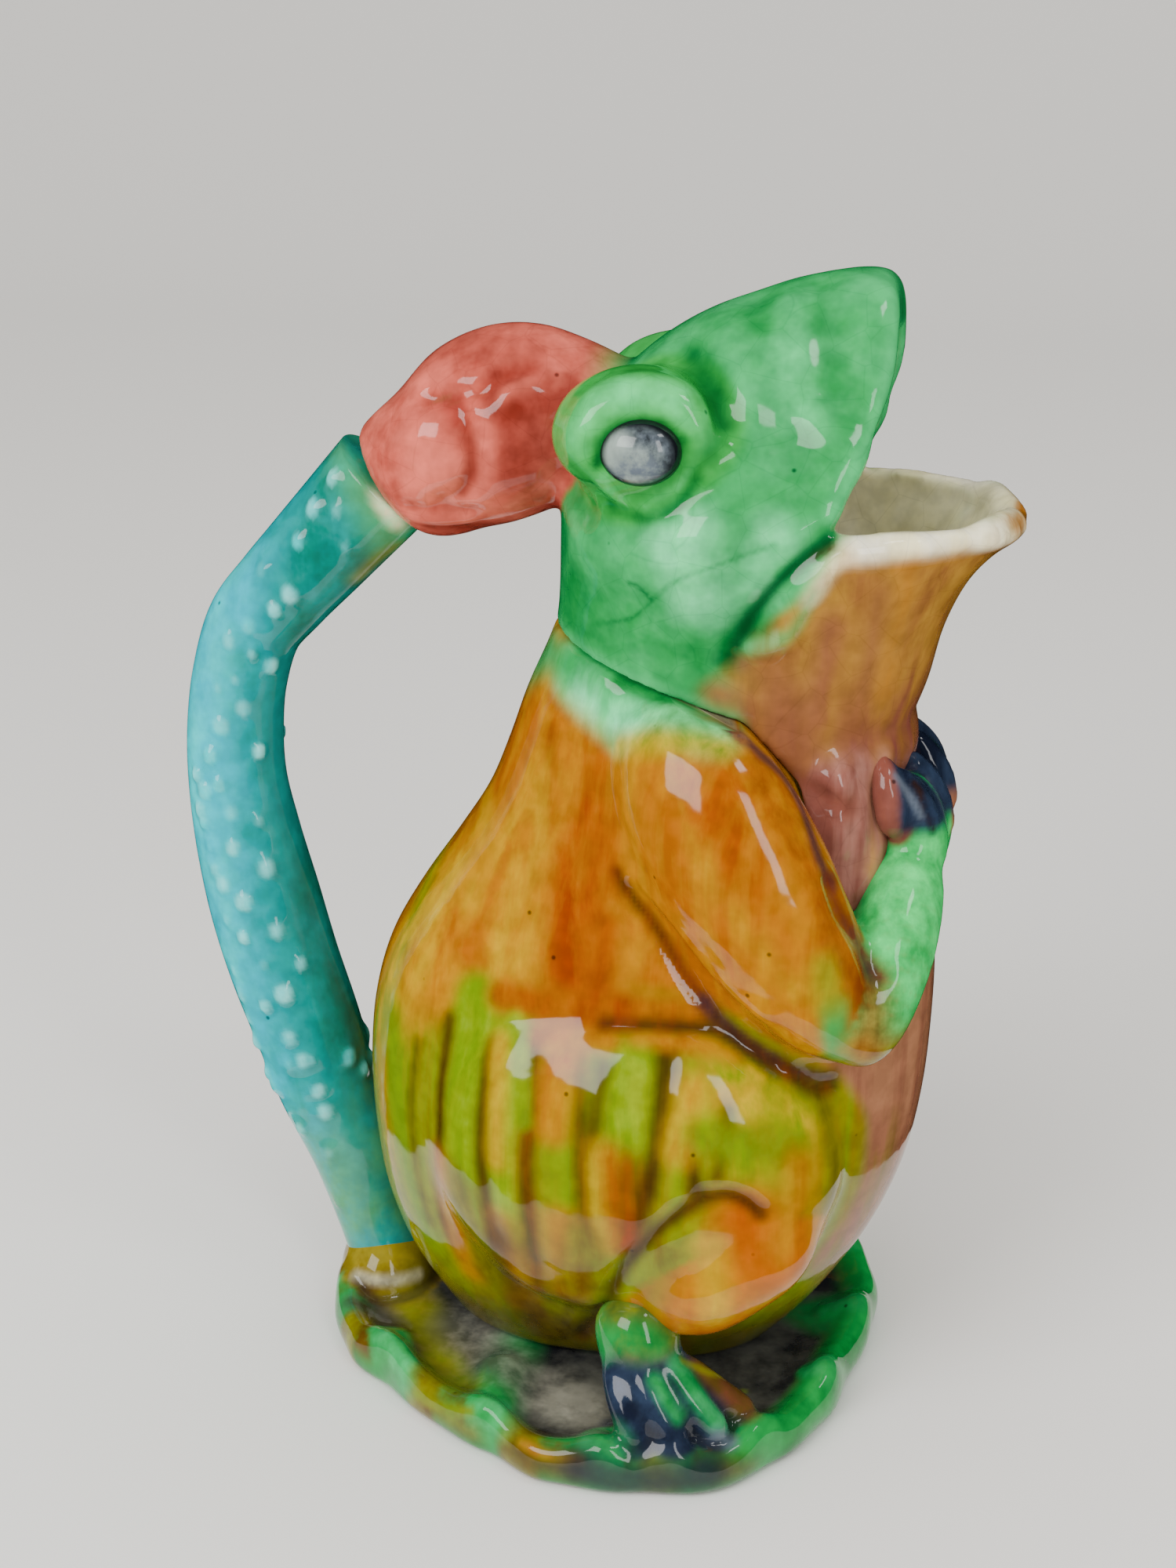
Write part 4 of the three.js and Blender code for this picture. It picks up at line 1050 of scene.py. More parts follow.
def paint_body(clay, forms):
    paint = Paint(clay, "orange", "amber yellow")
    x, _, z = paint.points.T
    hollow = clay.hollows(2)
    # how far a form's glaze runs past it, in millimetres
    usual, further = 2.6, {"first_finger": 3.6, "second_finger": 3.6, "haunch": 7}
    masks = {name: nearness(clay, form, further.get(name, usual)) for name, form in forms.items()}
    digits = np.maximum(masks["first_finger"], masks["second_finger"])
    paint.lay(1 - steps(z, *GREEN_BAND), "yellow green", "amber yellow")
    paint.lay(1 - steps(z, *OLIVE_BAND), "olive", "yellow green")
    limbs = np.prod([1 - masks[name] for name in ("upper_arm", "haunch", "shank")], axis=0)
    paint.lay(steps(x, *BELLY_FRONT) * limbs, "belly", "belly dark")
    paint.lay(masks["haunch"] * 0.8, "yellow green", "olive")
    paint.lay(masks["shank"], "calf", "amber yellow")
    paint.lay(masks["forearm"] * steps(z, *WRIST_GREEN), "hand green", "hand light")
    paint.lay(masks["forearm"] * (1 - steps(z, *ELBOW_BROWN)), "red brown", "leaf olive")
    paint.lay(masks["palm"], "hand green", "hand light")
    paint.lay(masks["thumb"], "throat purple", "lobe")
    paint.lay(digits * steps(z, *KNUCKLES), "navy", "navy light")
    paint.strokes([
        # neck: green, pale mint that is partly a painted reflection of the window light, then into
        # orange
        (1.0, 7, 4, "mint", "pale mint", [(742, 850), (775, 880), (800, 905)]),
        (0.9, 5, 4, "light green", "mint", [(800, 885), (850, 905), (905, 930)]),
        (0.8, 2.4, 2, "green", "deep green", [(740, 835), (800, 872), (870, 898), (930, 922)]),
        (0.8, 2.5, 2.5, "tongue", "yellow", [(790, 950), (830, 948), (880, 945), (920, 955)]),
        (0.9, 4, 4, "green", "light green", [(700, 830), (720, 845), (750, 862)]),
        (0.9, 5, 5, "green", "light green", [(690, 840), (668, 880), (655, 915)]),
        # deep orange down the flank and the arm, yellow at the back
        (0.9, 9, 8, "deep orange", "orange", [(740, 1050), (725, 1150), (735, 1250)]),
        (0.8, 2.5, 3, "yellow", "amber yellow", [(640, 960), (620, 1060), (600, 1150)]),
        (0.7, 2, 2.5, "red brown", "deep orange", [(700, 940), (690, 1030), (680, 1120)]),
        (0.7, 2.2, 2.5, "red brown", "deep orange", [(775, 1180), (765, 1250), (760, 1300)]),
        (0.7, 2, 3, "amber yellow", "yellow", [
            (860, 1010), (900, 1100), (960, 1200), (1010, 1260),
        ]),
        (0.7, 2, 3, "red brown", "orange", [(960, 980), (1000, 1060), (1040, 1160)]),
        (0.6, 6, 6, "amber yellow", "yellow", [(690, 1000), (665, 1100), (650, 1230)]),
        (0.6, 6, 6, "deep orange", "orange", [(890, 1010), (950, 1110), (1010, 1230)]),
        (0.9, 4, 5, "yellow green", "yellow", [
            (640, 930), (590, 1040), (540, 1140), (505, 1230), (490, 1300),
        ]),
        (0.7, 4, 5, "amber yellow", "yellow", [
            (600, 1060), (560, 1150), (530, 1230), (515, 1290),
        ]),
        (0.9, 4, 4, "tongue", "yellow green", [
            (500, 1300), (505, 1380), (520, 1480), (550, 1580),
        ]),
        (0.8, 2.5, 3, "deep orange", "red brown", [(640, 905), (625, 960), (600, 1010)]),
        # tongues of leaf green
        (1.0, 5.5, 2.5, "tongue", "tongue light", [
            (609, 1275), (600, 1330), (592, 1400), (594, 1480),
        ]),
        (1.0, 4.5, 2.5, "tongue", "tongue light", [
            (659, 1312), (655, 1380), (645, 1480), (650, 1570),
        ]),
        (1.0, 6.5, 2.5, "tongue", "tongue light", [(806, 1362), (805, 1400), (800, 1460)]),
        (0.9, 6, 4, "yellow green", "yellow", [(940, 1370), (960, 1420), (950, 1480)]),
        (0.9, 5, 4, "yellow green", "tongue light", [(1010, 1420), (1005, 1470), (990, 1520)]),
        (0.8, 5, 4, "tongue", "yellow green", [(730, 1400), (722, 1470), (725, 1530)]),
        # brown runs
        (0.9, 1.6, 1.8, "brown", "dark brown", [
            (574, 1300), (563, 1380), (561, 1440), (566, 1553), (587, 1600),
        ]),
        (0.9, 1.8, 1.8, "brown", "dark brown", [
            (628, 1330), (617, 1400), (613, 1462), (620, 1530), (633, 1590),
        ]),
        (0.9, 2.2, 2.0, "brown", "red brown", [
            (684, 1330), (677, 1420), (670, 1484), (676, 1560), (685, 1640), (690, 1700),
        ]),
        (0.8, 2, 2, "brown", "red brown", [(735, 1350), (738, 1420), (742, 1500), (745, 1560)]),
        (0.9, 2.2, 2.0, "brown", "dark brown", [
            (850, 1335), (845, 1400), (838, 1462), (822, 1530), (800, 1590),
        ]),
        (0.8, 1.8, 2, "brown", "dark brown", [(770, 1360), (760, 1420), (755, 1480)]),
        (0.8, 1.8, 1.8, "brown", "olive", [
            (1047, 1400), (1058, 1440), (1065, 1484), (1060, 1530),
        ]),
        (0.9, 1.6, 1.8, "brown", "dark brown", [(882, 1455), (884, 1490), (888, 1518)]),
        (0.8, 1.6, 1.6, "brown", "dark brown", [(930, 1400), (925, 1450), (915, 1500)]),
        (0.7, 1.6, 1.6, "brown", "olive", [(535, 1330), (525, 1400), (530, 1480), (550, 1560)]),
        # flames
        (0.9, 3, 3, "orange", "yellow", [(770, 1475), (774, 1530), (782, 1585)]),
        (0.9, 3.5, 3, "yellow", "amber yellow", [(885, 1395), (880, 1425), (868, 1465)]),
        (0.8, 3, 2.5, "yellow green", "yellow", [(935, 1385), (990, 1400), (1030, 1440)]),
        (0.9, 4, 3, "tongue", "olive", [(895, 1450), (960, 1460), (1010, 1470)]),
        (0.9, 3.5, 2.5, "amber yellow", "orange", [(715, 1340), (708, 1400), (704, 1440)]),
        (0.8, 2.2, 2.5, "amber yellow", "yellow", [(640, 1330), (634, 1400), (632, 1480)]),
        (0.8, 3, 3, "deep orange", "brown", [(800, 1490), (795, 1540), (800, 1580)]),
        (0.8, 3, 3, "amber yellow", "orange", [(560, 1480), (580, 1560), (600, 1620)]),
        (0.7, 3, 3, "amber yellow", "orange", [(640, 1560), (655, 1620), (665, 1660)]),
        (0.8, 3.5, 3, "orange", "amber yellow", [(715, 1560), (720, 1610), (725, 1650)]),
        (0.8, 8, 5, "calf", "calf red", [(955, 1560), (965, 1600), (985, 1610)]),
        (0.9, 5, 4, "calf red", "calf", [(950, 1555), (972, 1585), (990, 1605)]),
        (0.8, 3, 3, "yellow", "amber yellow", [(905, 1590), (910, 1640), (913, 1680)]),
        (0.8, 4, 4, "orange", "amber yellow", [(1020, 1490), (1015, 1540), (1000, 1585)]),
        (0.8, 4, 4, "brown", "dark brown", [(640, 1580), (655, 1640), (690, 1690)]),
        (0.8, 4, 4, "olive", "brown", [(740, 1580), (730, 1640), (720, 1700)]),
        (0.8, 3, 3, "brown", "olive", [(580, 1500), (600, 1570), (620, 1620)]),
        (0.7, 5, 5, "belly dark", "olive", [(1120, 1450), (1110, 1520), (1080, 1600)]),
        (0.7, 3, 3, "olive", "brown", [(850, 1600), (835, 1650), (830, 1690)]),
        # elbow
        (0.9, 2.6, 2, "hand green", "green", [(1072, 1345), (1066, 1320), (1066, 1290)]),
        (0.8, 3, 3, "leaf olive", "tongue light", [(1056, 1235), (1056, 1260), (1062, 1280)]),
        (0.8, 4, 4, "red brown", "amber", [(1108, 1262), (1112, 1300), (1098, 1335)]),
        (0.6, 2.5, 2.5, "red brown", "orange", [(1060, 1180), (1080, 1225), (1100, 1250)]),
        # painted glints on the fingers, and painted shade in the gap between them
        (0.8, 0.8, 0.8, "slate", "slate", [(1143, 990), (1160, 1015), (1176, 1040)]),
        (0.8, 0.7, 0.8, "slate", "navy light", [(1185, 995), (1200, 1025), (1208, 1055)]),
        (0.9, 0.8, 0.8, "dark brown", "navy", [(1168, 1000), (1180, 1030), (1190, 1060)]),
        # the orange runs over the haunch's edge, and the tongues end below it
        (0.85, 2.6, 2.2, "orange", "amber yellow", [(690, 1318), (740, 1322), (775, 1326)]),
        (0.85, 2.2, 2.0, "amber yellow", "orange", [
            (815, 1322), (860, 1326), (905, 1334), (935, 1346),
        ]),
        (0.9, 3.4, 2.4, "orange", "deep orange", [
            (640, 1270), (700, 1284), (770, 1288), (830, 1290), (895, 1292),
        ]),
        (0.85, 1.8, 1.4, "tongue light", "tongue", [
            (657, 1302), (663, 1340), (666, 1380), (668, 1430),
        ]),
        # pooled purple brown in the creases
        (0.95, 1.5, 1.5, "purple brown", "purple brown", ARM_CREASE),
        (0.9, 1.8, 1.8, "purple brown", "red brown", ELBOW_CREASE),
        (0.9, 1.3, 1.5, "red brown", "dark brown", [(787, 1112), *BACK_CREASE[:5]]),
        (0.95, 1.8, 1.8, "purple brown", "dark brown", [
            *BACK_CREASE[4:], (1025, 1368), (1058, 1374),
        ]),
        (0.9, 1.4, 1.8, "dark brown", "red brown", HAUNCH_CREASE),
        (0.9, 1.5, 1.7, "dark brown", "brown", CALF_CREASE),
    ])
    paint.lay((1 - steps(z, *FOOT_BAND)) * 0.6, "leaf brown", "dark brown")
    calm = np.maximum.reduce([along(clay, line, 5) for line in SOFT_CREASES])
    # darker in the hollows from pooled glaze and from painted shade
    paint.lay(np.clip(hollow, 0, 1) * 0.6 * (1 - calm), "purple brown")
    paint.lay((off_cavity(clay) < BODY_INSIDE) * 1.0, "inside", "inside light")
    # the crease under the neck runs on over the shoulder
    paint.strokes([
        (0.95, 1.5, 1.0, "deep green", "green", [(790, 868), (820, 880), (850, 892), (885, 903)]),
        (0.95, 1.5, 1.0, "throat brown", "purple brown", [
            (895, 906), (910, 916), (925, 928), (945, 943),
        ]),
    ])
    paint.flow = np.full(clay.count, 0.9)
    paint.flow -= 0.5 * np.maximum(masks["forearm"], masks["palm"])
    paint.store()


# The leaf, with the feet and the stalk

LEAF_VOXEL = 0.75
# the leaf's edge all round, as shares of its radius
LEAF_EDGE = [
    1, 1, 0.975, 0.907, 0.91, 0.937, 1.02, 1.057, 1.105, 1.06, 1.018, 0.967,
    0.985, 1.022, 1.013, 1.038, 1.075, 1.05, 1.017, 0.958, 0.925, 0.933, 0.983, 1,
]
# its section from the middle underneath, round the rim and back on top: share of radius, height
LEAF_PROFILE = [
    (0.3, 0), (0.8, 0), (0.95, 0), (0.985, 1.2), (1, 3.8), (0.995, 6.6), (0.975, 8.8),
    (0.945, 9.5), (0.915, 8.9), (0.885, 7.7), (0.85, 6.75), (0.7, 6.5), (0.3, 6.5),
]
# a fold's height and width; the height from which it lifts the leaf, and over how much more; and
# the share of its height by which the leaf sinks between the folds
FOLD_HEIGHT, FOLD_WIDTH = 3.2, 5
FOLD_FROM, FOLD_RISE, FOLD_DIP = 2, 4, 0.15
STALK_PLACE, STALK_SIZE = (-49.5, 0, PAD_FLOOR), (22, 28, 26)
# the leaf's folds, from their inner ends out over the rim
LEAF_FOLDS = np.array([
    [(-41, -29), (-35, -45)], [(-15, -33), (-14, -52)], [(10, -54), (12.3, -66)],
    [(24, -56), (25, -66)], [(40, -46), (45, -52)], [(50, -24), (60, -30)], [(52, 0), (64, 0)],
    [(-56, -8), (-64, -10)],
], float)


def leaf_edge(turn):
    loop = np.array([*LEAF_EDGE, LEAF_EDGE[0]])
    place = np.mod(turn, 1) * len(LEAF_EDGE)
    before = place.astype(int)
    blend = (1 - np.cos(np.pi * (place - before))) / 2
    return loop[before] * (1 - blend) + loop[before + 1] * blend


def on_folds(x, y):
    """How far up on a fold of the leaf a place is, from 0 to 1."""
    flat = np.column_stack([x, -np.abs(y), 0 * x])
    gaps = [distance(flat, np.column_stack([fold, (0, 0)])) for fold in LEAF_FOLDS]
    return np.exp(-((np.min(gaps, axis=0) / FOLD_WIDTH) ** 2))


def leaf_place(share, angle):
    profile = np.array([(r, 0, z) for r, z in LEAF_PROFILE], float) * (PAD_RADIUS, 1, 1)
    made = catmull(profile, share)
    radius = made[:, 0] * leaf_edge((angle + np.pi) / (2 * np.pi))
    x, y, z = radius * np.cos(angle), radius * np.sin(angle), np.maximum(made[:, 2], 0)
    lifted = np.clip((z - FOLD_FROM) / FOLD_RISE, 0, 1)
    z = z + lifted * FOLD_HEIGHT * (on_folds(x, y) - FOLD_DIP)
    return np.stack([x, y, z], -1)


def toe_line(toe):
    return [on_pad(x, y, z * TOE) for x, y, z in toe]


def toe_form(toe):
    return limb([[*p, TOE / 2, TOE / 2] for p in toe_line(toe)])


def foot_forms():
    lines = [toe_line(toe) for toe in TOES]
    toes = [shell(toe_form(toe), 20, 22) for toe in TOES]
    web = [(*line[-1][:2], TORSO_BASE + WEB) for line in lines] + [tuple(line[0]) for line in lines]
    bm = bmesh.new()
    for x, y, z in web:
        bm.verts.new((x, y, z))
        bm.verts.new((x, y, TORSO_BASE - WEB_BELOW))
    bmesh.ops.convex_hull(bm, input=bm.verts)
    bmesh.ops.recalc_face_normals(bm, faces=bm.faces)
    return [shell(ANKLE, 28, 24), *toes, as_object(bm)]


def leaf_piece():
    feet = joined(foot_forms())
    toes = joined([shell(toe_form(toe), 24, 48) for toe in TOES])
    stalk = shell(ball(STALK_PLACE, STALK_SIZE), 32, 24)
    leaf = shell(leaf_place, 240, 60, capped=True)
    piece = fused([leaf, stalk, *both(feet)], LEAF_VOXEL)
    clay = Clay(piece)
    clay.even(5)
    ankle = near(clay, on_pad(0.24, -0.76, 10), 11)
    clay.relax(40, 0.5 * ankle)
    clay.relax(3)
    clay.co[:, 2] = np.maximum(clay.co[:, 2], 0)
    clay.store()
    return clay, {"feet": feet, "toes": toes, "stalk": stalk}


# where the leaf's glazes change: in shares of its radius, of a fold, or in millimetres on X or up
RIM_START, EDGE_START, FOLDS_OUT = (0.84, 0.92), (0.955, 0.985), (0.5, 0.7)
FOLD_GREEN = (0.3, 0.6)
RIM_FRONT, PATCHES_END = (26, 36), (18, 30)
EDGE_TOP, ANKLE_GREEN = (3, 8), (23, 30)
# how many olive patches go round the rim, and where the first one starts
RIM_PATCHES, RIM_TURN = 13, 1.4


def paint_leaf(clay, forms):
    paint = Paint(clay, "leaf black", "leaf grey")
    x, y, z = paint.points.T
    hollow = clay.hollows(3)
    turn = (np.arctan2(clay.co[:, 1], clay.co[:, 0]) + np.pi) / (2 * np.pi)
    share = np.hypot(x, y) / (PAD_RADIUS * leaf_edge(turn))
    folds = on_folds(x, y)
    rim = steps(share, *RIM_START)
    paint.lay(rim, "leaf brown", "leaf green")
    paint.lay(rim * steps(x, *RIM_FRONT), "leaf green", "deep green")
    paint.lay(steps(folds, *FOLD_GREEN) * steps(share, *FOLDS_OUT), "leaf green", "leaf mint")
    edge = steps(share, *EDGE_START) * (1 - steps(z, *EDGE_TOP))
    paint.lay(edge * 0.8, "leaf green", "deep green")
    patches = steps(np.sin(RIM_PATCHES * turn * 2 * np.pi + RIM_TURN), 0.2, 0.8)
    paint.lay(rim * patches * (1 - steps(x, *PATCHES_END)), "leaf brown", "leaf olive")
    feet = np.maximum(nearness(clay, forms["feet"], 3.5), nearness(clay, forms["toes"], 3.5))
    paint.lay(feet, "navy", "navy light")
    paint.lay(feet * steps(z, *ANKLE_GREEN), "leaf green", "leaf olive")
    stalk = nearness(clay, forms["stalk"], 3)
    paint.lay(stalk, "root", "leaf brown")
    paint.strokes([
        (0.9, 5, 4, "leaf olive", "root", [(520, 1650), (545, 1690), (570, 1730)]),
        (0.9, 3, 3, "leaf green", "leaf mint", [(500, 1710), (510, 1740), (514, 1760)]),
        (0.9, 5, 4, "leaf green", "leaf mint", [(655, 1715), (640, 1760), (625, 1800)]),
        (0.9, 4, 4, "leaf green", "leaf mint", [(770, 1850), (775, 1885), (800, 1892)]),
        (0.8, 2.5, 3, "leaf brown", "leaf olive", [(545, 1790), (575, 1810), (600, 1828)]),
        (0.9, 0.9, 1.2, "leaf olive", "tongue", [(530, 1778), (560, 1795), (600, 1800)]),
        (0.8, 3, 3, "leaf brown", "dark brown", [(665, 1852), (700, 1870), (735, 1876)]),
        (0.9, 0.9, 1.2, "leaf olive", "amber", [(665, 1840), (700, 1858), (740, 1862)]),
        (0.8, 3, 3, "leaf brown", "dark brown", [(925, 1875), (955, 1868)]),
        (0.8, 7, 5, "leaf grey", "ash", [(590, 1690), (640, 1730), (700, 1780), (740, 1800)]),
        (0.8, 4, 3, "tongue", "leaf olive", [(560, 1740), (590, 1770)]),
        (0.9, 5, 4, "navy", "leaf black", [(745, 1870), (790, 1890), (850, 1885), (900, 1880)]),
        (0.7, 3, 3, "leaf green", "deep green", [(970, 1660), (1010, 1675), (1060, 1690)]),
        (0.85, 5, 4, "leaf green", "deep green", [
            (1085, 1640), (1100, 1700), (1075, 1765), (1020, 1805), (965, 1830),
        ]),
        (0.8, 3, 3, "leaf black", "navy", [(1060, 1590), (1090, 1600)]),
        (0.8, 3.5, 2, "leaf brown", "red brown", [(900, 1745), (925, 1765), (950, 1790)]),
        (0.8, 1.6, 1.5, "leaf green", "leaf mint", [(837, 1762), (850, 1785), (864, 1805)]),
        (0.8, 2.2, 1.6, "leaf green", "leaf mint", [(866, 1740), (896, 1785), (918, 1815)]),
        (0.6, 0.8, 0.8, "leaf olive", "tongue", [(870, 1735), (910, 1752), (948, 1775)]),
        (0.8, 3, 2.5, "leaf green", "leaf mint", [(752, 1690), (766, 1715)]),
        (0.7, 3.5, 3, "leaf brown", "leaf olive", [(785, 1668), (820, 1672), (852, 1690)]),
        (0.8, 2.5, 2.5, "deep green", "leaf green", [(812, 1700), (838, 1712)]),
        (0.8, 1.6, 1.6, "slate", "navy light", [(915, 1830), (930, 1838)]),
        (0.7, 1.2, 1.2, "cream", "ash", [(455, 1628), (490, 1634), (535, 1626)]),
        (0.7, 3, 3, "leaf black", "leaf grey", [(450, 1660), (480, 1680), (500, 1690)]),
    ])
    # darker in the hollows from pooled glaze and from painted shade
    paint.lay(np.clip(hollow, 0, 1) * 0.6, "leaf black")
    paint.flow = np.full(clay.count, 0.1)
    paint.store()


# The stem

# a bump's radius, then its height: the mean, the swing, and how far that turns from bump to bump
BUMP_SIZES = (1.7, 0.4, 2.4), (0.85, 0.35, 5.1)
# how much taller than wide a bump is
BUMP_TALL = 0.8
STEM_BUMPS = [
    (381, 693), (334, 729), (321, 836), (282, 929), (269, 966), (279, 1003), (295, 1038),
    (269, 1082), (298, 1084), (311, 1152), (311, 1197), (352, 1189), (337, 1233), (384, 1231),
    (362, 1269), (339, 1284), (369, 1326), (370, 1360), (396, 1354), (445, 1350), (464, 1365),
    (406, 1393), (419, 1471), (432, 1535), (400, 650), (425, 612), (350, 780), (318, 800),
    (300, 870), (310, 905), (262, 1010), (262, 1050), (285, 1130), (300, 1240), (320, 1300),
    (352, 1385), (385, 1440), (400, 1500), (430, 655), (440, 700), (370, 760), (253, 990),
    (258, 1035), (275, 1110), (290, 1175), (310, 1270), (330, 1330), (345, 1370), (365, 1420),
    (278, 880), (292, 820), (345, 850), (330, 960), (340, 1110), (330, 1050),
]


def stem_piece():
    rise = BUD_RING[2] - STEM_FOOT_Z
    rows = [
        (-out * STEM_REACH, 0, STEM_FOOT_Z + up * rise, half * STEM_THICK) for out, up, half in STEM
    ]
    rows.append((*BUD_RING, STEM_TOP_HALF))
    rows.insert(0, (rows[0][0] + STEM_END[0], 0, rows[0][2] + STEM_END[1], STEM_END[2]))
    rows = np.array(rows)
    spine, sizes = rows[:, :3], np.column_stack([np.arange(len(rows)), rows[:, 3], 0 * rows[:, 3]])

    def place(t, angle):
        radius = catmull(sizes, t)[..., 1]
        return tube(spine, t, angle, radius, radius)

    clay = Clay(shell(place, 96, 300, capped=True))
    tree, points = clay.tree(), clay.folded()
    lift = np.zeros(clay.count)
    for i, at in enumerate(on_surface(tree, STEM_BUMPS)):
        radius, height = (mean + swing * math.sin(turn * i) for mean, swing, turn in BUMP_SIZES)
        line = np.vstack([at, at + (0, 0, BUMP_TALL)])
        close, gap = near_line(points, line, STROKE_REACH * radius)
        lift[close] = np.maximum(lift[close], height * np.exp(-((gap / radius) ** 2)))
    clay.push(lift)
    clay.store()
    return clay, lift


# the edge of a glaze along the stem bows in from the height where the stem is furthest out
STEM_BOW, STEM_MIDDLE = 0.002, 120
# where along X the inner glaze starts and the outer one ends, the height where the foot's glaze
# ends, and how high a bump is where it turns pale
STEM_INNER, STEM_OUTER, STEM_FOOT, BUMP_PALE = (-78, -64), (-84, -74), (20, 62), (0.25, 0.9)


def paint_stem(clay, lift):
    paint = Paint(clay, "stem", "stem deep")
    x, _, z = paint.points.T
    bow = STEM_BOW * (z - STEM_MIDDLE) ** 2
    paint.lay(steps(x - bow, *STEM_INNER) * 0.9, "stem inner", "stem deep")
    paint.lay(1 - steps(x - bow, *STEM_OUTER), "stem", "stem light")
    paint.lay(steps(lift, *BUMP_PALE) * 0.7, "stem light", "stem white")
    paint.lay((1 - steps(z, *STEM_FOOT)) * 0.8, "stem deep", "stem green")
    paint.strokes([
        (0.8, 6, 6, "stem green", "stem deep", [(470, 1330), (480, 1400), (490, 1460)]),
        (0.7, 5, 5, "stem green", "light green", [(455, 590), (480, 640), (510, 690)]),
        (0.9, 1.8, 1.5, "cream", "pale mint", [(458, 565), (470, 610), (500, 655), (530, 680)]),
        (0.7, 2, 2.5, "leaf olive", "root", [(500, 700), (480, 715), (460, 735)]),
    ])
    paint.flow = np.full(clay.count, 0.35)
    paint.store()


# Materials

def add(tree, kind, settings=(), links=()):
    """A node with some of its settings and inputs given by name or number."""
    node = tree.nodes.new(kind)
    for name, value in dict(settings).items():
        if hasattr(node, str(name)):
            setattr(node, name, value)
        else:
            node.inputs[name].default_value = value
    for name, source in dict(links).items():
        tree.links.new(source, node.inputs[name])
    return node


# the glaze's patterns in millimetres: a run's width and length, the patches of thick and thin
# glass, the spacing of pinholes, the cells of the crackle, and the ripple's length and height.
# The real pinholes and cracks are finer, and are drawn as coarse as they need to show.
RUN_WIDTH, RUN_LENGTH = 20 / 3, 500 / 7
PATCH = 50 / 13
PINHOLES = 40 / 3
CRACKLE_CELL = 25 / 3
RIPPLE_WAVE = 25 / 3
RIPPLE_HEIGHT = 0.6
# two values of a pattern, and how bright the glaze is at the one and at the other
PATCH_SHADE, PINHOLE_SHADE = (0.35, 0.65, 0.86, 1.1), (0.02, 0.045, 0.3, 1.0)
CRACK_WIDTH = 0.02
# how much of the second glaze shows: none below the first value of the mottling, all above the next
SECOND_GLAZE = {"From Min": 0.4, "From Max": 0.62}


def per(size):
    """The scale of a pattern that repeats at this many millimetres."""
    return 1 / (size * MM)


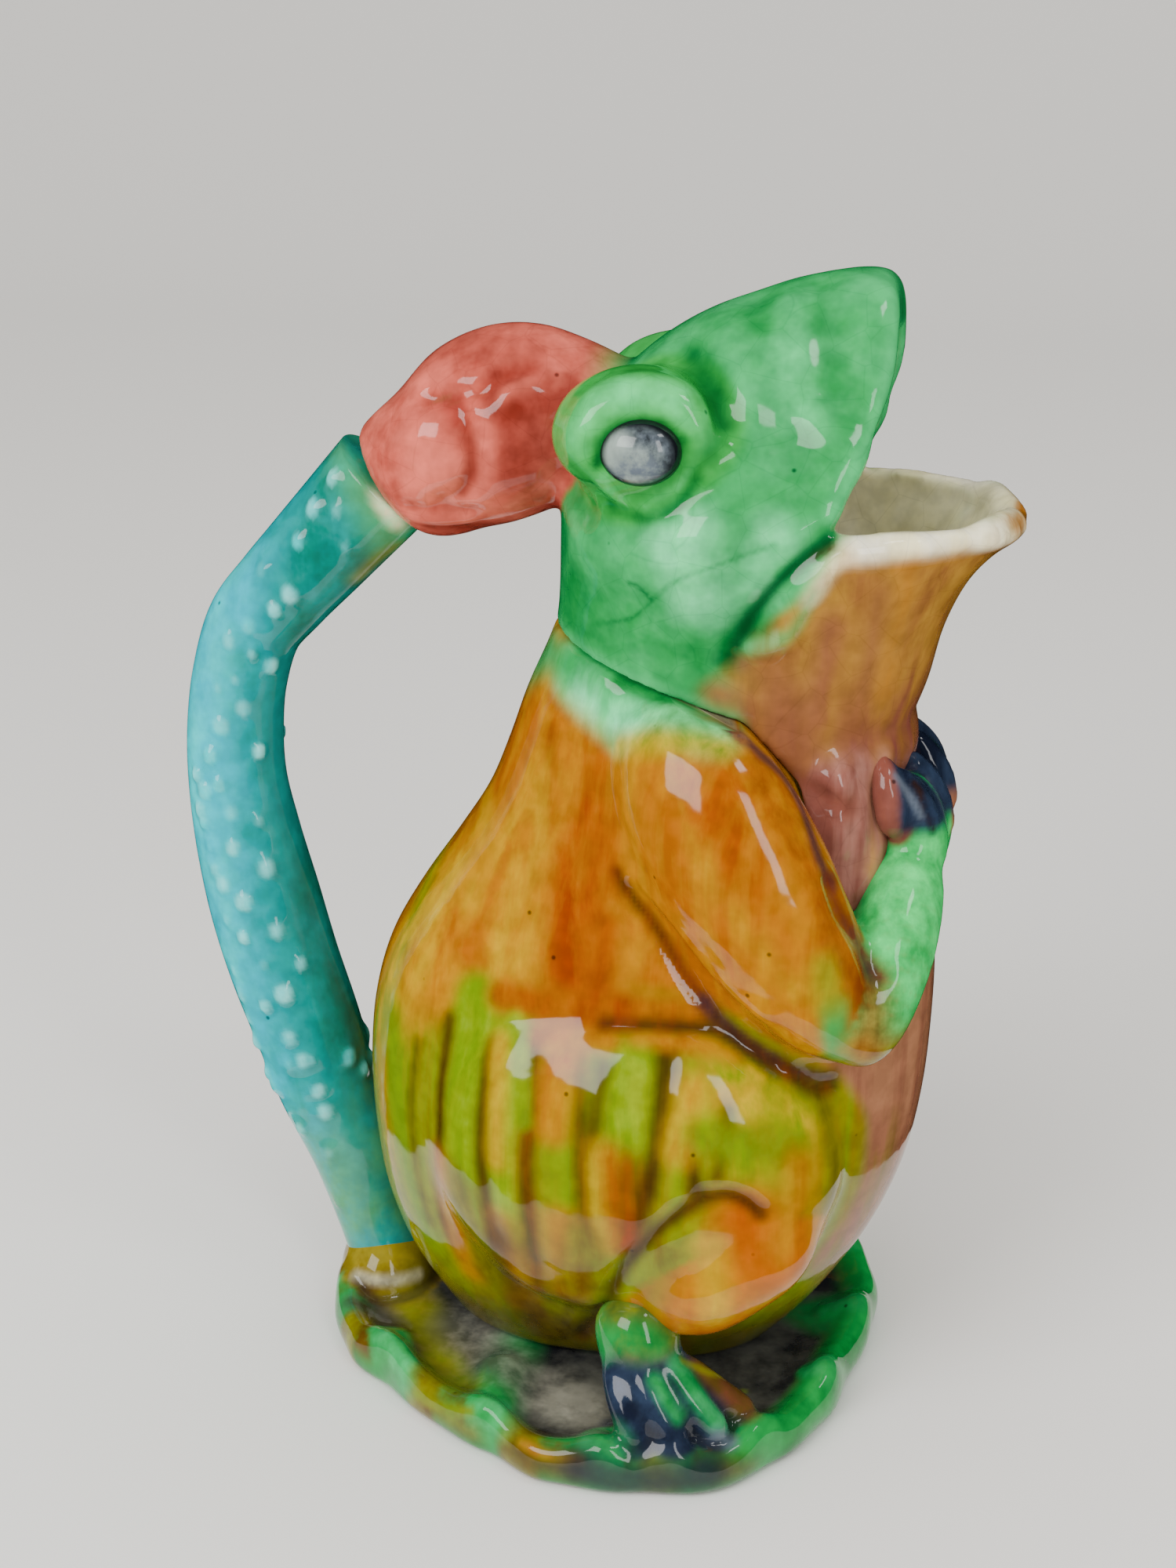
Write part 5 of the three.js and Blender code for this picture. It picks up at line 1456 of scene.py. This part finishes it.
def glaze_material(name, clouds, crackle=0.0):
    """Thick lead glaze on fired earthenware, brushed on and run in the kiln.

    To the eye it is deep wet glass over colour that pools in the hollows, runs down and mottles;
    the colour it is given is darker in the hollows partly as painted shade, and holds painted
    highlights.
    The clouds are given in millimetres, and the crackle is how dark its cracks are.
    """
    material = bpy.data.materials.new(name)
    material.use_nodes = True
    tree = material.node_tree
    tree.nodes.clear()
    place = add(tree, "ShaderNodeTexCoord").outputs["Object"]
    ground = add(tree, "ShaderNodeAttribute", {"attribute_name": "glaze"})
    second = add(tree, "ShaderNodeAttribute", {"attribute_name": "glaze_second"})
    # mottling is soft clouds, and runs are the same drawn out downwards
    cloud = add(
        tree,
        "ShaderNodeTexNoise",
        {"Scale": per(clouds), "Detail": 4.0, "Roughness": 0.62},
        {"Vector": place},
    )
    drawn_out = (per(RUN_WIDTH), per(RUN_WIDTH), per(RUN_LENGTH))
    tall = add(tree, "ShaderNodeMapping", {"Scale": drawn_out}, {"Vector": place})
    run = add(
        tree,
        "ShaderNodeTexNoise",
        {"Scale": 1.0, "Detail": 5.0, "Roughness": 0.6, "Distortion": 0.3},
        {"Vector": tall.outputs[0]},
    )
    blend = add(tree, "ShaderNodeMix", {"data_type": "FLOAT"})
    tree.links.new(ground.outputs["Alpha"], blend.inputs[0])
    tree.links.new(cloud.outputs[0], blend.inputs[2])
    tree.links.new(run.outputs[0], blend.inputs[3])
    share = add(tree, "ShaderNodeMapRange", SECOND_GLAZE, {"Value": blend.outputs[0]})
    colour = add(tree, "ShaderNodeMix", {"data_type": "RGBA"})
    tree.links.new(share.outputs[0], colour.inputs[0])
    tree.links.new(ground.outputs["Color"], colour.inputs[6])
    tree.links.new(second.outputs["Color"], colour.inputs[7])
    # the glass is thicker here and thinner there, so the same colour goes deeper and paler,
    # with a few pinholes and, on the head, a fine net of cracks
    patches = (
        ("ShaderNodeTexNoise", {"Scale": per(PATCH), "Detail": 2.0}, PATCH_SHADE),
        ("ShaderNodeTexVoronoi", {"feature": "F1", "Scale": per(PINHOLES)}, PINHOLE_SHADE),
        (
            "ShaderNodeTexVoronoi",
            {"feature": "DISTANCE_TO_EDGE", "Scale": per(CRACKLE_CELL)},
            (0.0, CRACK_WIDTH, 1 - crackle, 1.0),
        ),
    )
    marks = []
    for kind, settings, ends in patches:
        pattern = add(tree, kind, settings, {"Vector": place})
        limits = dict(zip(("From Min", "From Max", "To Min", "To Max"), ends))
        ranged = add(tree, "ShaderNodeMapRange", limits, {"Value": pattern.outputs[0]})
        marks.append(ranged.outputs[0])
    mark = marks.pop()
    for more in reversed(marks):
        product = add(tree, "ShaderNodeMath", {"operation": "MULTIPLY"}, {0: mark, 1: more})
        mark = product.outputs[0]
    marked = add(tree, "ShaderNodeMix", {"data_type": "RGBA", "blend_type": "MULTIPLY", 0: 1.0})
    tree.links.new(colour.outputs[2], marked.inputs[6])
    tree.links.new(mark, marked.inputs[7])
    # the coat's slow ripple
    waves = {"Scale": per(RIPPLE_WAVE), "Detail": 2.0}
    wave = add(tree, "ShaderNodeTexNoise", waves, {"Vector": place})
    ripple = {"Strength": 0.25, "Distance": RIPPLE_HEIGHT * MM}
    relief = add(tree, "ShaderNodeBump", ripple, {"Height": wave.outputs[0]})
    shader = add(
        tree,
        "ShaderNodeBsdfPrincipled",
        {"Roughness": 0.08, "IOR": 1.43},
        {"Base Color": marked.outputs[2], "Normal": relief.outputs[0]},
    )
    add(tree, "ShaderNodeOutputMaterial", {}, {"Surface": shader.outputs[0]})
    return material


def shade_smooth(piece):
    for polygon in piece.data.polygons:
        polygon.use_smooth = True


def finish_piece(clay, name, material, nodes):
    """Names the piece, turns millimetres into metres and hands it to the frame."""
    piece = clay.piece
    piece.name = piece.data.name = name
    piece.data.transform(Matrix.Scale(MM, 4))
    shade_smooth(piece)
    piece.data.materials.clear()
    piece.data.materials.append(material)
    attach(piece, "root")
    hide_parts(*nodes)


# The eyes

# where the ball turns dark towards its rim, in shares of its radius
EYE_RIM = (0.72, 0.9)


def eyeball_piece():
    clay = Clay(shell(ball(EYEBALL_CENTRE, EYEBALL), 40, 32))
    paint = Paint(clay, "eye grey", "eye pale")
    paint.strokes([
        (0.9, 2.2, 2.2, "eye dark", "slate", [(820, 556), (850, 565), (856, 588)]),
        (0.9, 2.2, 1.5, "eye pale", "eye pale", [(788, 566), (780, 582)]),
        (0.8, 2.2, 2.0, "slate", "eye pale", [(800, 600), (826, 602)]),
    ])
    x, _, z = ((clay.co - EYEBALL_CENTRE) / EYEBALL * 2).T
    paint.lay(steps(np.hypot(x, z), *EYE_RIM), "eye dark")
    paint.store()
    return clay


# The light and the paper, in metres

PITCHER_MIDDLE = (0.0, 0.0, 0.12)
WORLD_LIGHT = 0.9
# each light: azimuth and elevation in degrees, distance, size, watts, and if the glaze shows it
LIGHTS = {
    "fill": (-105, 55, 6, (3, 3), 112, False),
    "window": (-122, 30, 0.9, (0.5, 0.42), 5.4, True),
    "strip": (-54, 24, 0.9, (0.16, 0.5), 2.0, True),
    "overhead": (-30, 54, 0.9, (0.2, 0.12), 0.8, True),
}


def aimed_light(name, azimuth, elevation, reach, size, power, reflected):
    light = bpy.data.lights.new(name, "AREA")
    light.shape = "RECTANGLE"
    light.size, light.size_y = size
    light.energy = power
    lamp = bpy.data.objects.new(name, light)
    bpy.context.scene.collection.objects.link(lamp)
    a, e = math.radians(azimuth), math.radians(elevation)
    way = Vector((math.cos(a) * math.cos(e), math.sin(a) * math.cos(e), math.sin(e)))
    lamp.location = Vector(PITCHER_MIDDLE) + reach * way
    lamp.rotation_euler = (-way).to_track_quat("-Z", "Y").to_euler()
    lamp.visible_glossy = reflected


def staged(bm, name, reflected):
    """A sheet of the stage, of pale paper."""
    bmesh.ops.recalc_face_normals(bm, faces=bm.faces)
    made = as_object(bm, name)
    made.data.materials.append(bpy.data.materials["pale_paper"])
    shade_smooth(made)
    made.visible_glossy = reflected


# the sheet: the part that the glaze reflects, where the bend starts and its radius, then the front
# edge, the top edge, half the width, the slant to the camera and how far it lies below the other
REFLECTED_RADIUS = 0.12
BEND_START, BEND_RADIUS = 1.6, 2
PAPER_FRONT, PAPER_TOP, PAPER_HALF, PAPER_SLANT, PAPER_BELOW = -6, 6, 7, 0.2, 0.00002


def paper_sweep():
    """A sheet of paper that rises behind the pitcher, and the part that the glaze reflects."""
    bm = bmesh.new()
    bmesh.ops.create_circle(bm, segments=128, radius=REFLECTED_RADIUS, cap_ends=True)
    staged(bm, "paper_near", True)
    bend = [
        (BEND_START + BEND_RADIUS * math.sin(a), BEND_RADIUS * (1 - math.cos(a)))
        for a in np.linspace(0, math.pi / 2, 24)
    ]
    bm = bmesh.new()
    rows = []
    for back, up in [(PAPER_FRONT, 0), *bend, (BEND_START + BEND_RADIUS, PAPER_TOP)]:
        sides = (side - PAPER_SLANT * back for side in (-PAPER_HALF, PAPER_HALF))
        rows.append([bm.verts.new((side, back, up - PAPER_BELOW)) for side in sides])
    for low, high in zip(rows, rows[1:]):
        bm.faces.new((low[0], low[1], high[1], high[0]))
    staged(bm, "paper", False)


def floor_and_light():
    # uncoated paper, rolled flat: pale and even, with no shine
    pale = bpy.data.materials.new("pale_paper")
    pale.use_nodes = True
    paper = pale.node_tree.nodes["Principled BSDF"]
    paper.inputs["Base Color"].default_value = (*linear("#f2f0ec"), 1)
    paper.inputs["Roughness"].default_value = 0.8
    paper_sweep()
    world = bpy.data.worlds.new("studio")
    bpy.context.scene.world = world
    world.use_nodes = True
    sky = world.node_tree.nodes["Background"]
    sky.inputs["Color"].default_value = (1.0, 0.99, 0.97, 1)
    sky.inputs["Strength"].default_value = WORLD_LIGHT
    world.cycles_visibility.glossy = False
    for name, row in LIGHTS.items():
        aimed_light(name, *row)


def each_side(*names):
    return [side + name for side in ("right_", "left_") for name in names]


make_camera()
head, head_forms = head_piece()
paint_head(head, head_forms)
body, body_forms = body_piece()
paint_body(body, body_forms)
leaf, leaf_forms = leaf_piece()
paint_leaf(leaf, leaf_forms)
stem, bumps = stem_piece()
paint_stem(stem, bumps)
right_eye = eyeball_piece()
left_eye = Clay(mirrored(right_eye.piece))

kept = {c.piece.name for c in (head, body, leaf, stem, right_eye, left_eye)}
for spare in [o for o in bpy.data.objects if o.name.startswith("form") and o.name not in kept]:
    bpy.data.objects.remove(spare)

# the same glaze in five mixes: copper green, brushed on thick, mottled and finely cracked
head_glaze = glaze_material("green_head_glaze", clouds=14, crackle=0.12)
# iron, antimony and copper side by side, which ran into each other: streaks with soft edges
body_glaze = glaze_material("running_body_glaze", clouds=8)
# manganese and copper, which settled on the leaf: near black, with green where it is thin
leaf_glaze = glaze_material("leaf_glaze", clouds=12)
# copper in an alkaline mix: turquoise, nearly white on the bumps
stem_glaze = glaze_material("turquoise_stem_glaze", clouds=12)
# a thin grey coat, clouded like a wet eye
eye_glaze = glaze_material("grey_eye_glaze", clouds=4)

finish_piece(
    head, "frog_head", head_glaze,
    ["head_shell", "throat_spout", "throat_pouch", "handle_bud", *each_side("eyelid")],
)
finish_piece(
    body, "frog_body", body_glaze,
    ["torso_shell", *each_side("upper_arm", "forearm", "hand", "haunch", "shank")],
)
finish_piece(
    leaf, "lily_leaf", leaf_glaze,
    ["lily_pad", "stem_root", *each_side("foot")],
)
finish_piece(stem, "lily_stem", stem_glaze, ["handle_stem"])
finish_piece(right_eye, "right_eye", eye_glaze, ["right_eyeball"])
finish_piece(left_eye, "left_eye", eye_glaze, ["left_eyeball"])
floor_and_light()
